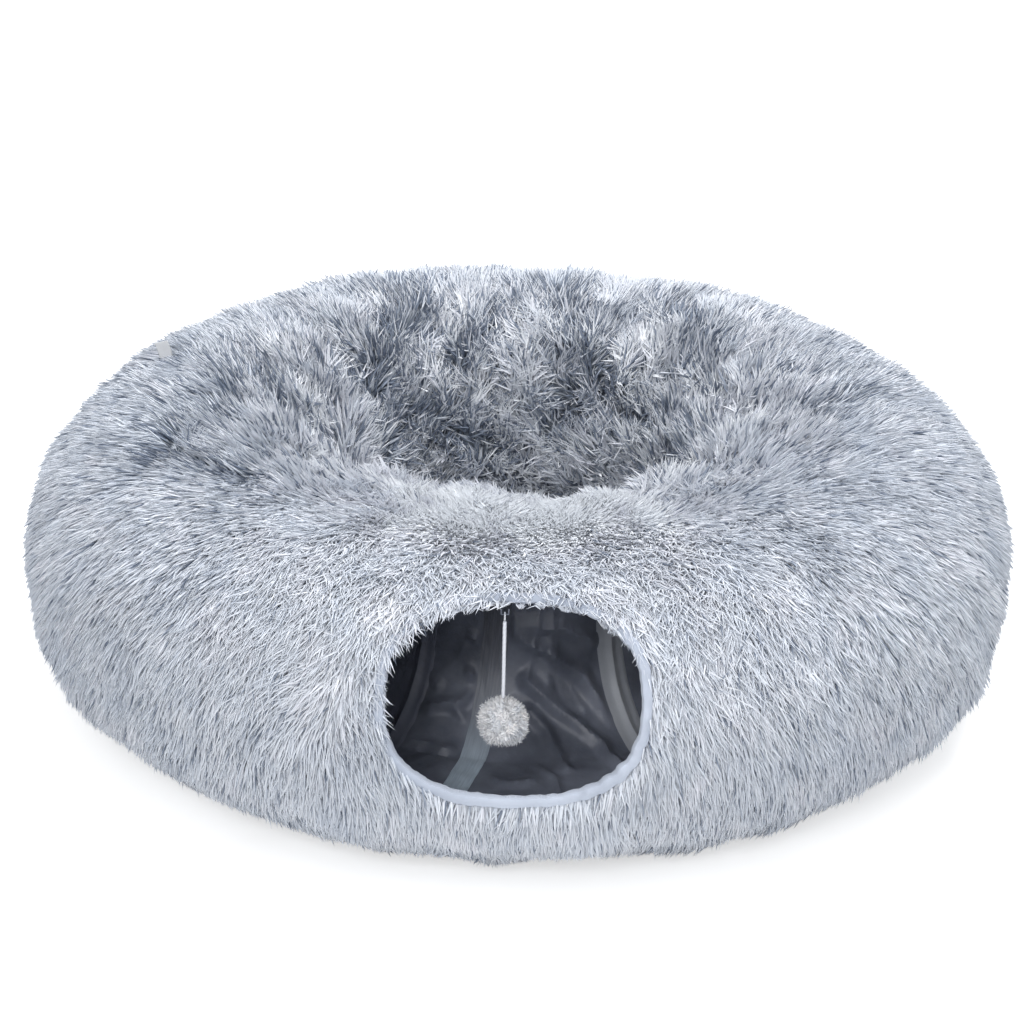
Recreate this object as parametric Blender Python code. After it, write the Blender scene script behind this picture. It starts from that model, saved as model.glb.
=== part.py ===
"""Donut cat tunnel: a ring-shaped plush play tunnel with one entrance, a hanging pom-pom and a loose mat.

Metres, +Z up. The origin is the centre of the ring on the floor, and the entrance faces -Y.
An azimuth is measured round the ring from the entrance, positive towards +X.
A turn is measured round the tube's section from its outermost point, positive upwards.
A depth is measured into the wall from the tips of the pile.
"""

import math

import bmesh
import bpy
from mathutils import Matrix, Vector

# Clearance that pieces which touch keep, how far a cutter runs past what it cuts, and what meshes share
FIT_GAP = 0.0003
CUT_OVERRUN = 0.03
BISECTION_STEPS = 40
MERGE_DISTANCE = 0.00001
CREASE_DEG = 40.0

# Ring, over the tips of the pile
RING_RADIUS = 0.266
TUBE_HALF_WIDTH = 0.144
TUBE_HEIGHT = 0.265
TUBE_SAG = 0.010
UPPER_SQUARENESS = 2.0
LOWER_SQUARENESS = 2.4
SECTION_STEPS = 16

# Sewn panels: the front one holds the entrance, and two on each side close the ring at the back
FRONT_SEAM_DEG = 30.0
SIDE_SEAM_DEG = 105.0
BACK_SEAM_DEG = 180.0
FRONT_PANEL_STEPS = 6
REAR_PANEL_STEPS = 6
SEAM_DRAW_IN = 0.005

# Gathers of the cover behind the front panel, deepest where it turns into the well
GATHER_DRAW_IN = 0.010
GATHER_MIDDLE_TURN_DEG = 135.0

# Layers of the wall
PILE_THICKNESS = 0.018
WADDING_THICKNESS = 0.006
LINING_THICKNESS = 0.001

# Spring-wire hoops in their sewn casings
HOOP_WIRE_RADIUS = 0.00125
HOOP_AZIMUTHS_DEG = (-142.5, -105.0, -67.5, -30.0, 30.0, 67.5, 105.0, 142.5, 180.0)
CASING_HALF_WIDTH = 0.012
CASING_CLOTH = 0.0008
CASING_GROOVE_HALF_WIDTH = 0.004

# Tape over the lining's own seam, on the wall that faces the well
SEAM_TAPE_HALF_WIDTH = 0.009
SEAM_TAPE_THICKNESS = 0.0006
SEAM_TAPE_CLEARANCE = 0.0006
SEAM_TAPE_TOP_DEG = -3.0
SEAM_TAPE_FOOT_DEG = -10.5
SEAM_TAPE_FIRST_STEP = 5
SEAM_TAPE_LAST_STEP = 12

# Entrance: an oval cut square to a plane that leans back, through the whole outer wall
ENTRANCE_HALF_WIDTH = 0.0997
ENTRANCE_HALF_HEIGHT = 0.0767
ENTRANCE_SIDE = -0.0015
ENTRANCE_TURN_DEG = 20.7
ENTRANCE_SQUARENESS = 2.5
ENTRANCE_STEPS = 32
BINDING_HALF_DEPTH = 0.0110
BINDING_WIDTH = 0.0090
BINDING_WALL_DEPTH = 0.0170
BINDING_GROOVE_HALF_WIDTH = 0.0045
BINDING_CLOTH = 0.0020
BINDING_SHOULDER_SHARE = 0.72
ENTRANCE_WIRE_RADIUS = 0.00125

# Cloths under the ring, out to a reach from the tube's middle line, and across the well
BASE_REACH = 0.066
BASE_THICKNESS = 0.0015
WELL_FLOOR_EDGE_SHARE = 0.5
WELL_FLOOR_THICKNESS = 0.0020
CLOTH_STEPS = 48

# Loose round mat, which lifts out through the well's throat with a clearance
MAT_CLEARANCE = 0.014
MAT_BASE_HEIGHT = 0.026
MAT_CROWN_HEIGHT = 0.030
MAT_EDGE_ROUNDING = 0.014
MAT_CLOTH = 0.003
MAT_STEPS = 32
MAT_CROWN_STEPS = 5
MAT_ROUNDING_STEPS = 3
CROWN_ACROSS_POWER = 0.8
CROWN_UP_POWER = 0.5
PIPING_RADIUS = 0.0030

# Zip in the mat's back edge, in the gap that the piping leaves
ZIP_AZIMUTH_DEG = 180.0
ZIP_FACETS = 8
ZIP_TAPE_MARGIN_DEG = 2.0
ZIP_TEETH_MARGIN_DEG = 5.0
ZIP_STEPS = 24
ZIP_TAPE_THICKNESS = 0.0006
ZIP_TAPE_HALF_HEIGHT = 0.0070
ZIP_TEETH_THICKNESS = 0.0012
ZIP_TEETH_HALF_HEIGHT = 0.0020
SLIDER_END_DEG = 8.0
SLIDER_HALF_LENGTH = 0.0045
SLIDER_FLANGE = 0.0012
SLIDER_PLATE = 0.0010
BAIL_RADIUS = 0.0005
BAIL_HALF_LENGTH = 0.0027
PULL_THICKNESS = 0.0008
PULL_CROSSBAR = 0.0012
PULL_SLOT_LENGTH = 0.0036
PULL_SLOT_HALF_HEIGHT = 0.0012
PULL_HALF_HEIGHT = 0.0027
PULL_LENGTH = 0.0145

# Hanging toy
TOY_SIDE = -0.0092
TAB_RADIUS = 0.0006
TAB_HALF_WIDTH = 0.0028
TAB_DROP = 0.0045
LOOP_RADIUS = 0.0030
LOOP_THREAD_RADIUS = 0.0006
LOOP_STEPS = 16
CORD_DIAMETER = 0.0030
CORD_LENGTH = 0.0640
CORD_POINT_SPACING = 0.0080
POMPOM_RADIUS = 0.0190
POMPOM_SUBDIVISIONS = 3

# Blank woven label, folded into the left side seam
LABEL_TURN_DEG = 71.0
LABEL_HALF_WIDTH = 0.0060
LABEL_LENGTH = 0.0140
LABEL_THICKNESS = 0.0012

# Values worked out from the driving dimensions
RING_FLOOR = BASE_THICKNESS + FIT_GAP
TUBE_HALF_HEIGHT = (TUBE_HEIGHT + TUBE_SAG) / 2
TUBE_CENTRE_HEIGHT = RING_FLOOR + TUBE_HALF_HEIGHT - TUBE_SAG
WADDING_DEPTH = PILE_THICKNESS + FIT_GAP
LINING_DEPTH = WADDING_DEPTH + WADDING_THICKNESS + FIT_GAP
TUNNEL_DEPTH = LINING_DEPTH + LINING_THICKNESS
BASE_RADIUS = RING_RADIUS + BASE_REACH
WELL_FLOOR_RADIUS = RING_RADIUS - TUBE_HALF_WIDTH * WELL_FLOOR_EDGE_SHARE
WELL_FLOOR_HEIGHT = BASE_THICKNESS + FIT_GAP
MAT_RADIUS = RING_RADIUS - TUBE_HALF_WIDTH - MAT_CLEARANCE
MAT_FLOOR = WELL_FLOOR_HEIGHT + WELL_FLOOR_THICKNESS + FIT_GAP
MAT_SEAM_HEIGHT = MAT_FLOOR + MAT_BASE_HEIGHT
MAT_FACET_DEG = 360.0 / MAT_STEPS
ZIP_TAPE_RADIUS = MAT_RADIUS + FIT_GAP
ZIP_TEETH_RADIUS = ZIP_TAPE_RADIUS + ZIP_TAPE_THICKNESS + FIT_GAP
SLIDER_RADIUS = ZIP_TEETH_RADIUS + ZIP_TEETH_THICKNESS + FIT_GAP

PLUSH = ("plush", (0.50, 0.55, 0.61), 0.95, 0.0)
PLUSH_MAT = ("mat_plush", (0.47, 0.52, 0.58), 0.95, 0.0)
WADDING = ("wadding", (0.80, 0.80, 0.78), 1.0, 0.0)
LINING = ("lining", (0.045, 0.050, 0.060), 0.6, 0.0)
TAPE = ("tape", (0.15, 0.17, 0.21), 0.8, 0.0)
BINDING = ("binding", (0.50, 0.55, 0.66), 0.8, 0.0)
SPRING_WIRE = ("spring_wire", (0.35, 0.36, 0.38), 0.35, 1.0)
BASE_CLOTH = ("base_cloth", (0.10, 0.11, 0.13), 0.9, 0.0)
CORD = ("cord", (0.62, 0.64, 0.70), 0.8, 0.0)
POMPOM = ("pompom", (0.80, 0.80, 0.80), 0.95, 0.0)
FILLING = ("filling", (0.85, 0.85, 0.83), 1.0, 0.0)
ZIP_PLASTIC = ("zip_plastic", (0.42, 0.46, 0.52), 0.5, 0.0)
ZIP_METAL = ("zip_metal", (0.55, 0.56, 0.58), 0.3, 1.0)
LABEL = ("label", (0.75, 0.76, 0.78), 0.85, 0.0)


def clear_scene():
    """Remove every object of the file the script runs in."""
    for obj in list(bpy.data.objects):
        bpy.data.objects.remove(obj, do_unlink=True)


def material(finish):
    """Return the material of a (name, colour, roughness, metallic) finish, made on its first use."""
    name, colour, roughness, metallic = finish
    found = bpy.data.materials.get(name)
    if found:
        return found
    made = bpy.data.materials.new(name)
    made.use_nodes = True
    shader = made.node_tree.nodes["Principled BSDF"]
    shader.inputs["Base Color"].default_value = (*colour, 1.0)
    shader.inputs["Roughness"].default_value = roughness
    shader.inputs["Metallic"].default_value = metallic
    return made


def add_object(name, data, finish, parent):
    """Link a mesh or curve that is drawn in world coordinates, under its parent empty."""
    obj = bpy.data.objects.new(name, data)
    bpy.context.collection.objects.link(obj)
    data.materials.append(material(finish))
    obj.parent = parent
    obj.matrix_parent_inverse = Matrix.Translation(-Vector(parent["world_place"]))
    return obj


def add_axis(name, place, parent=None):
    """Add the empty that carries what moves about, or along, an axis through its place."""
    axis = bpy.data.objects.new(name, None)
    bpy.context.collection.objects.link(axis)
    origin = Vector(parent["world_place"]) if parent else Vector()
    axis.location = Vector(place) - origin
    axis["world_place"] = tuple(place)
    axis.parent = parent
    return axis


def mesh_from(bm, name):
    """Turn a bmesh into a smooth-shaded mesh with its faces pointing out and its creases kept sharp."""
    bmesh.ops.recalc_face_normals(bm, faces=bm.faces)
    mesh = bpy.data.meshes.new(name)
    bm.to_mesh(mesh)
    bm.free()
    mesh.shade_smooth()
    mesh.set_sharp_from_angle(angle=math.radians(CREASE_DEG))
    return mesh


def loft(name, loops, finish, parent, cyclic=False):
    """Skin a row of loops with equal counts of points. A row that isn't cyclic gets a cap at each end."""
    bm = bmesh.new()
    rows = [[bm.verts.new(point) for point in loop] for loop in loops]
    count = len(rows[0])
    pairs = list(zip(rows, rows[1:]))
    if cyclic:
        pairs.append((rows[-1], rows[0]))
    else:
        bm.faces.new(rows[0])
        bm.faces.new(rows[-1])
    for row, following in pairs:
        for k in range(count):
            after = (k + 1) % count
            bm.faces.new((row[k], row[after], following[after], following[k]))
    return add_object(name, mesh_from(bm, name), finish, parent)


def turned(name, profile, steps, finish, parent):
    """Turn a profile of (radius, height) points, listed top to bottom, round the Z axis."""
    mesh = bpy.data.meshes.new(name)
    points = [(radius, 0.0, height) for radius, height in profile]
    mesh.from_pydata(points, [(k, k + 1) for k in range(len(points) - 1)], [])
    obj = add_object(name, mesh, finish, parent)
    screw = obj.modifiers.new("turn", "SCREW")
    screw.steps = screw.render_steps = steps
    screw.use_merge_vertices = True
    screw.merge_threshold = MERGE_DISTANCE
    return obj


def rod(name, points, radius, finish, parent, cyclic=False, bevel_resolution=0):
    """Run a round rod along points, as a closed ring or with flat caps."""
    curve = bpy.data.curves.new(name, "CURVE")
    curve.dimensions = "3D"
    spline = curve.splines.new("POLY")
    spline.points.add(len(points) - 1)
    for target, point in zip(spline.points, points):
        target.co = (*point, 1.0)
    spline.use_cyclic_u = cyclic
    curve.bevel_depth = radius
    curve.bevel_resolution = bevel_resolution
    curve.use_fill_caps = True
    return add_object(name, curve, finish, parent)


def cut(obj, cutter):
    """Cut an object with a hidden cutter."""
    cutter.hide_render = True
    cutter.display_type = "WIRE"
    boolean = obj.modifiers.new(cutter.name, "BOOLEAN")
    boolean.operation = "DIFFERENCE"
    boolean.solver = "EXACT"
    boolean.object = cutter


def join(obj, other):
    """Join a hidden piece to an object as one body."""
    other.hide_render = True
    other.display_type = "WIRE"
    boolean = obj.modifiers.new(other.name, "BOOLEAN")
    boolean.operation = "UNION"
    boolean.solver = "EXACT"
    boolean.object = other


def signed_power(value, exponent):
    """Raise a value's size to a power and keep its sign."""
    return math.copysign(abs(value) ** exponent, value)


def section_point(depth, turn):
    """Return (distance out from the tube's centre line, height) on the smooth layer at a depth."""
    half_width = TUBE_HALF_WIDTH - depth
    half_height = TUBE_HALF_HEIGHT - depth
    exponent = 2 / (UPPER_SQUARENESS if math.sin(turn) >= 0 else LOWER_SQUARENESS)
    out = half_width * signed_power(math.cos(turn), exponent)
    up = half_height * signed_power(math.sin(turn), exponent)
    return out, max(TUBE_CENTRE_HEIGHT + up, RING_FLOOR + depth)


def panel_azimuths(start_deg, end_deg, steps):
    """Return the azimuths of a panel's sections, in degrees."""
    return [start_deg + (end_deg - start_deg) * k / steps for k in range(steps + 1)]


PANELS = {
    "front": panel_azimuths(-FRONT_SEAM_DEG, FRONT_SEAM_DEG, FRONT_PANEL_STEPS),
    "right_side": panel_azimuths(FRONT_SEAM_DEG, SIDE_SEAM_DEG, REAR_PANEL_STEPS),
    "right_back": panel_azimuths(SIDE_SEAM_DEG, BACK_SEAM_DEG, REAR_PANEL_STEPS),
    "left_back": panel_azimuths(-BACK_SEAM_DEG, -SIDE_SEAM_DEG, REAR_PANEL_STEPS),
    "left_side": panel_azimuths(-SIDE_SEAM_DEG, -FRONT_SEAM_DEG, REAR_PANEL_STEPS),
}
RING_AZIMUTHS = sorted({azimuth for azimuths in PANELS.values() for azimuth in azimuths})
SECTION_TURN = 2 * math.pi / SECTION_STEPS
SECTION_TURNS = [SECTION_TURN * k for k in range(SECTION_STEPS)]


def station_point(depth, turn, azimuth_deg):
    """Return a layer's point on one of the ring's sections, on the straight run between two corners."""
    corner = math.floor(turn / SECTION_TURN)
    share = turn / SECTION_TURN - corner
    near = section_point(depth, corner * SECTION_TURN)
    far = section_point(depth, (corner + 1) * SECTION_TURN)
    out, height = (a + (b - a) * share for a, b in zip(near, far))
    azimuth = math.radians(azimuth_deg)
    radius = RING_RADIUS + out
    return Vector((radius * math.sin(azimuth), -radius * math.cos(azimuth), height))


def wall_point(depth, turn, azimuth_deg):
    """Return a layer's point at any azimuth, on the straight run between two of the ring's sections."""
    azimuth_deg = (azimuth_deg + 180.0) % 360.0 - 180.0
    for low, high in zip(RING_AZIMUTHS, RING_AZIMUTHS[1:]):
        if low <= azimuth_deg <= high:
            share = (azimuth_deg - low) / (high - low)
            return station_point(depth, turn, low).lerp(station_point(depth, turn, high), share)
    raise ValueError(azimuth_deg)


def beside(depth, turn, azimuth_deg, offset):
    """Return the azimuth that lies a length beside another one on a layer."""
    radius = RING_RADIUS + section_point(depth, turn)[0]
    return azimuth_deg + math.degrees(offset / radius)


def panel_places(azimuths):
    """Return the azimuths of a panel's sections, with its two edges clear of the neighbours'."""
    first = beside(PILE_THICKNESS, math.pi, azimuths[0], FIT_GAP / 2)
    last = beside(PILE_THICKNESS, math.pi, azimuths[-1], -FIT_GAP / 2)
    return [first, *azimuths[1:-1], last]


def layer_loop(depth, place, drawn=lambda turn: 0.0):
    """Return a layer's points round the tube at an azimuth, drawn in by a function of the turn."""
    return [wall_point(depth + drawn(turn), turn, place) for turn in SECTION_TURNS]


def add_panel(name, azimuths, outer_depth, inner_depth, finish, parent):
    """Add a panel of one layer of the tube."""
    places = panel_places(azimuths)
    outer = [layer_loop(outer_depth, place) for place in places]
    inner = [layer_loop(inner_depth, place) for place in places]
    return loft(name, outer + inner[::-1], finish, parent, cyclic=True)


def seam_draw(turn):
    """Return how far a seam draws the cover in."""
    return SEAM_DRAW_IN


def gather_draw(turn):
    """Return how far a gather draws the cover in: most where it turns into the well, not on the flank."""
    return GATHER_DRAW_IN * max(0.0, math.cos(turn - math.radians(GATHER_MIDDLE_TURN_DEG)))


def gathered_seam_draw(turn):
    """Return how far a seam between gathered panels draws the cover in."""
    return max(seam_draw(turn), gather_draw(turn))


def add_front_cover(azimuths, parent):
    """Add the smooth front panel of the plush cover, drawn in at its two seams."""
    places = panel_places(azimuths)
    ends = [layer_loop(0.0, place, seam_draw) for place in (places[0], places[-1])]
    outer = [ends[0], *(layer_loop(0.0, place) for place in places[1:-1]), ends[1]]
    inner = [layer_loop(PILE_THICKNESS, place) for place in places]
    return loft("plush_front", outer + inner[::-1], PLUSH, parent, cyclic=True)


def add_gathered_cover(panel, azimuths, parent):
    """Add a panel of the plush cover that is gathered at each section and puffs out between them."""
    places = panel_places(azimuths)
    puffs = [(low + high) / 2 for low, high in zip(places, places[1:])]
    draws = {place: gather_draw for place in places}
    draws |= {places[0]: gathered_seam_draw, places[-1]: gathered_seam_draw}
    outer = [
        layer_loop(0.0, place, draws[place]) if place in draws else layer_loop(0.0, place)
        for place in sorted(places + puffs)
    ]
    inner = [layer_loop(PILE_THICKNESS, place) for place in sorted(places + puffs)]
    return loft(f"plush_{panel}", outer + inner[::-1], PLUSH, parent, cyclic=True)


def entrance_frame():
    """Return the entrance's centre on the pile, and its sideways, upward and outward directions."""
    lean = math.radians(ENTRANCE_TURN_DEG)
    out, height = section_point(0.0, lean)
    centre = Vector((ENTRANCE_SIDE, -(RING_RADIUS + out), height))
    upward = Vector((0.0, math.sin(lean), math.cos(lean)))
    outward = Vector((0.0, -math.cos(lean), math.sin(lean)))
    return centre, Vector((1.0, 0.0, 0.0)), upward, outward


def entrance_point(angle, inset, shift):
    """Return a point on the entrance's oval, drawn in by an inset and shifted outward from its plane."""
    centre, sideways, upward, outward = entrance_frame()
    exponent = 2 / ENTRANCE_SQUARENESS
    side = (ENTRANCE_HALF_WIDTH - inset) * signed_power(math.cos(angle), exponent)
    up = (ENTRANCE_HALF_HEIGHT - inset) * signed_power(math.sin(angle), exponent)
    return centre + sideways * side + upward * up + outward * shift


ENTRANCE_ANGLES = [2 * math.pi * (k + 0.5) / ENTRANCE_STEPS for k in range(ENTRANCE_STEPS)]


def add_entrance_cutter(parent):
    """Add the oval prism that cuts the entrance through every layer, as far as the tunnel's middle."""
    ends = (CUT_OVERRUN, -TUBE_HALF_WIDTH)
    loops = [[entrance_point(angle, 0.0, shift) for angle in ENTRANCE_ANGLES] for shift in ends]
    return loft("entrance_cutter", loops, BINDING, parent)


def add_wall(parent):
    """Add the plush, the wadding and the lining, panel by panel, and cut the entrance through the front."""
    cutter = add_entrance_cutter(parent)
    for panel, azimuths in PANELS.items():
        wadding_inner = WADDING_DEPTH + WADDING_THICKNESS
        wadding = add_panel(f"wadding_{panel}", azimuths, WADDING_DEPTH, wadding_inner, WADDING, parent)
        lining = add_panel(f"lining_{panel}", azimuths, LINING_DEPTH, TUNNEL_DEPTH, LINING, parent)
        if panel == "front":
            for layer in (add_front_cover(azimuths, parent), wadding, lining):
                cut(layer, cutter)
        else:
            add_gathered_cover(panel, azimuths, parent)


def casing_section():
    """Return (offset beside, depth) points of a casing: a flat tape raised over the wire's groove."""
    groove = 4 * HOOP_WIRE_RADIUS
    return (
        (-CASING_HALF_WIDTH, 0.0),
        (-CASING_GROOVE_HALF_WIDTH, 0.0),
        (0.0, groove),
        (CASING_GROOVE_HALF_WIDTH, 0.0),
        (CASING_HALF_WIDTH, 0.0),
        (0.0, groove + CASING_CLOTH),
    )


def add_hoop(number, azimuth_deg, parent):
    """Add one spring-wire hoop round the tunnel, and the casing that holds it to the lining."""
    seat = TUNNEL_DEPTH + FIT_GAP
    wire = [wall_point(seat + HOOP_WIRE_RADIUS, turn, azimuth_deg) for turn in SECTION_TURNS]
    rod(f"hoop_wire_{number}", wire, HOOP_WIRE_RADIUS, SPRING_WIRE, parent, cyclic=True)
    loops = [
        [
            wall_point(seat + rise, turn, beside(seat, turn, azimuth_deg, offset))
            for offset, rise in casing_section()
        ]
        for turn in SECTION_TURNS
    ]
    loft(f"hoop_casing_{number}", loops, TAPE, parent, cyclic=True)


def add_seam_tape(parent):
    """Add the tape over the lining's own seam, which leans a little from top to foot."""
    seat = TUNNEL_DEPTH + SEAM_TAPE_CLEARANCE
    face = seat + SEAM_TAPE_THICKNESS
    loops = []
    for step in range(SEAM_TAPE_FIRST_STEP, SEAM_TAPE_LAST_STEP + 1):
        share = (step - SEAM_TAPE_FIRST_STEP) / (SEAM_TAPE_LAST_STEP - SEAM_TAPE_FIRST_STEP)
        azimuth = SEAM_TAPE_TOP_DEG + (SEAM_TAPE_FOOT_DEG - SEAM_TAPE_TOP_DEG) * share
        turn = SECTION_TURNS[step]
        left = beside(seat, turn, azimuth, -SEAM_TAPE_HALF_WIDTH)
        right = beside(seat, turn, azimuth, SEAM_TAPE_HALF_WIDTH)
        corners = ((seat, left), (seat, right), (face, right), (face, left))
        loops.append([wall_point(depth, turn, side) for depth, side in corners])
    loft("lining_seam_tape", loops, TAPE, parent)


def wall_excess(point, depth):
    """Return how far, as a share, a point lies outside the smooth layer at a depth."""
    up = point.z - TUBE_CENTRE_HEIGHT
    out = math.hypot(point.x, point.y) - RING_RADIUS
    power = UPPER_SQUARENESS if up >= 0 else LOWER_SQUARENESS
    across = abs(out / (TUBE_HALF_WIDTH - depth)) ** power
    return across + abs(up / (TUBE_HALF_HEIGHT - depth)) ** power - 1


def edge_shift(angle, depth):
    """Return the shift at which a line through the entrance's oval meets the layer at a depth."""
    inside, outside = -TUBE_HALF_WIDTH, CUT_OVERRUN
    for _ in range(BISECTION_STEPS):
        middle = (inside + outside) / 2
        if wall_excess(entrance_point(angle, 0.0, middle), depth) > 0:
            outside = middle
        else:
            inside = middle
    return inside


def binding_section():
    """Return (shift, inset) points of the binding, which is open behind for the wire."""
    shoulder_shift = BINDING_HALF_DEPTH * BINDING_SHOULDER_SHARE
    shoulder_inset = BINDING_WIDTH * BINDING_SHOULDER_SHARE
    return (
        (-BINDING_HALF_DEPTH, 0.0),
        (-BINDING_GROOVE_HALF_WIDTH, 0.0),
        (0.0, BINDING_WIDTH - BINDING_CLOTH),
        (BINDING_GROOVE_HALF_WIDTH, 0.0),
        (BINDING_HALF_DEPTH, 0.0),
        (shoulder_shift, shoulder_inset),
        (0.0, BINDING_WIDTH),
        (-shoulder_shift, shoulder_inset),
    )


def binding_loop(shift, inset):
    """Return the points of one line that runs round the entrance along its binding."""
    return [
        entrance_point(angle, FIT_GAP + inset, edge_shift(angle, BINDING_WALL_DEPTH) + shift)
        for angle in ENTRANCE_ANGLES
    ]


def add_entrance(parent):
    """Add the spring-wire ring of the entrance, and the bound edge that wraps it."""
    lines = [binding_loop(shift, inset) for shift, inset in binding_section()]
    loft("entrance_binding", list(zip(*lines)), BINDING, parent, cyclic=True)
    wire = binding_loop(0.0, ENTRANCE_WIRE_RADIUS)
    rod("entrance_wire", wire, ENTRANCE_WIRE_RADIUS, SPRING_WIRE, parent, cyclic=True)


def add_floor(parent):
    """Add the base cloth under the ring, and the cloth across the foot of the well."""
    discs = (
        ("base_cloth", BASE_RADIUS, 0.0, BASE_THICKNESS, BASE_CLOTH),
        ("well_floor", WELL_FLOOR_RADIUS, WELL_FLOOR_HEIGHT, WELL_FLOOR_THICKNESS, LINING),
    )
    for name, radius, floor, thickness, finish in discs:
        top = floor + thickness
        profile = ((0.0, top), (radius, top), (radius, floor), (0.0, floor))
        turned(name, profile, CLOTH_STEPS, finish, parent)


def mat_crown(inset):
    """Return the profile of the mat's domed upper side, from its centre to its seam."""
    points = []
    for k in range(MAT_CROWN_STEPS + 1):
        angle = math.pi / 2 * k / MAT_CROWN_STEPS
        across = (MAT_RADIUS - inset) * math.sin(angle) ** CROWN_ACROSS_POWER
        up = (MAT_CROWN_HEIGHT - inset) * max(math.cos(angle), 0.0) ** CROWN_UP_POWER
        points.append((across, MAT_SEAM_HEIGHT + FIT_GAP / 2 + up))
    return points


def mat_base(inset):
    """Return the profile of the mat's flat lower side, from its seam to its centre."""
    radius = MAT_RADIUS - inset
    floor = MAT_FLOOR + inset
    points = [(radius, MAT_SEAM_HEIGHT - FIT_GAP / 2)]
    for k in range(MAT_ROUNDING_STEPS + 1):
        angle = math.pi / 2 * k / MAT_ROUNDING_STEPS
        across = radius - MAT_EDGE_ROUNDING * (1 - math.cos(angle))
        points.append((across, floor + MAT_EDGE_ROUNDING * (1 - math.sin(angle))))
    return points + [(0.0, floor)]


def around(radius, azimuth_deg, height):
    """Return the point at a radius, an azimuth and a height."""
    azimuth = math.radians(azimuth_deg)
    return Vector((radius * math.sin(azimuth), -radius * math.cos(azimuth), height))


def add_mat(parent):
    """Add the loose mat: two plush covers round their filling, and the piping on their seam."""
    turned("mat_top", mat_crown(0.0) + mat_crown(MAT_CLOTH)[::-1], MAT_STEPS, PLUSH_MAT, parent)
    turned("mat_bottom", mat_base(MAT_CLOTH)[::-1] + mat_base(0.0), MAT_STEPS, PLUSH_MAT, parent)
    filling = MAT_CLOTH + FIT_GAP
    turned("mat_filling", mat_crown(filling) + mat_base(filling), MAT_STEPS, FILLING, parent)
    start = ZIP_AZIMUTH_DEG + ZIP_FACETS / 2 * MAT_FACET_DEG
    radius = MAT_RADIUS + FIT_GAP + PIPING_RADIUS
    piping = [
        around(radius, start + k * MAT_FACET_DEG, MAT_SEAM_HEIGHT) for k in range(MAT_STEPS - ZIP_FACETS + 1)
    ]
    rod("mat_piping", piping, PIPING_RADIUS, PLUSH_MAT, parent, bevel_resolution=1)


def add_zip_strip(name, radius, thickness, half_height, margin_deg, finish, parent):
    """Add one strip of the zip, which follows the mat's seam between the ends of the piping."""
    half_span = ZIP_FACETS / 2 * MAT_FACET_DEG - margin_deg
    loops = []
    for k in range(ZIP_STEPS + 1):
        azimuth = ZIP_AZIMUTH_DEG - half_span + 2 * half_span * k / ZIP_STEPS
        corners = (
            (radius, -half_height),
            (radius + thickness, -half_height),
            (radius + thickness, half_height),
            (radius, half_height),
        )
        loops.append([around(out, azimuth, MAT_SEAM_HEIGHT + up) for out, up in corners])
    loft(name, loops, finish, parent)


SLIDER_AZIMUTH_DEG = ZIP_AZIMUTH_DEG - ZIP_FACETS / 2 * MAT_FACET_DEG + SLIDER_END_DEG
CROSSBAR_REACH = math.hypot(PULL_CROSSBAR, PULL_THICKNESS) / 2 + FIT_GAP / 2
PULL_AXIS_RADIUS = SLIDER_RADIUS + SLIDER_PLATE + CROSSBAR_REACH
BAIL_AXIS_RADIUS = PULL_AXIS_RADIUS + CROSSBAR_REACH + BAIL_RADIUS


def on_slider(along, radius, up):
    """Return the point at a distance along the zip from the slider, a radius and a height over the seam."""
    azimuth = math.radians(SLIDER_AZIMUTH_DEG)
    tangent = Vector((math.cos(azimuth), math.sin(azimuth), 0.0))
    return around(radius, SLIDER_AZIMUTH_DEG, MAT_SEAM_HEIGHT + up) + tangent * along


def add_zip(mat_axis, slider_axis, pull_axis):
    """Add the zip: its tape, its row of teeth, the slider that rides on them and the slider's pull."""
    add_zip_strip(
        "zip_tape", ZIP_TAPE_RADIUS, ZIP_TAPE_THICKNESS, ZIP_TAPE_HALF_HEIGHT,
        ZIP_TAPE_MARGIN_DEG, ZIP_PLASTIC, mat_axis,
    )
    add_zip_strip(
        "zip_teeth", ZIP_TEETH_RADIUS, ZIP_TEETH_THICKNESS, ZIP_TEETH_HALF_HEIGHT,
        ZIP_TEETH_MARGIN_DEG, ZIP_METAL, mat_axis,
    )
    inner = ZIP_TEETH_HALF_HEIGHT + FIT_GAP
    outer = inner + SLIDER_FLANGE
    plate = SLIDER_RADIUS + SLIDER_PLATE
    back = ZIP_TEETH_RADIUS
    channel = (
        (back, -outer), (plate, -outer), (plate, outer), (back, outer),
        (back, inner), (SLIDER_RADIUS, inner), (SLIDER_RADIUS, -inner), (back, -inner),
    )
    ends = (-SLIDER_HALF_LENGTH, SLIDER_HALF_LENGTH)
    loops = [[on_slider(along, radius, up) for radius, up in channel] for along in ends]
    slider = loft("zip_slider", loops, ZIP_METAL, slider_axis)
    foot = plate - SLIDER_PLATE / 2
    crown = BAIL_AXIS_RADIUS + BAIL_RADIUS
    reach = BAIL_HALF_LENGTH
    legs = reach - 2 * BAIL_RADIUS
    ceiling = crown - 2 * BAIL_RADIUS
    arch = (
        (-reach, foot), (-reach, crown), (reach, crown), (reach, foot),
        (legs, foot), (legs, ceiling), (-legs, ceiling), (-legs, foot),
    )
    loops = [[on_slider(along, radius, up) for along, radius in arch] for up in (-BAIL_RADIUS, BAIL_RADIUS)]
    join(slider, loft("slider_bail", loops, ZIP_METAL, slider_axis))
    add_pull(pull_axis)


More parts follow.
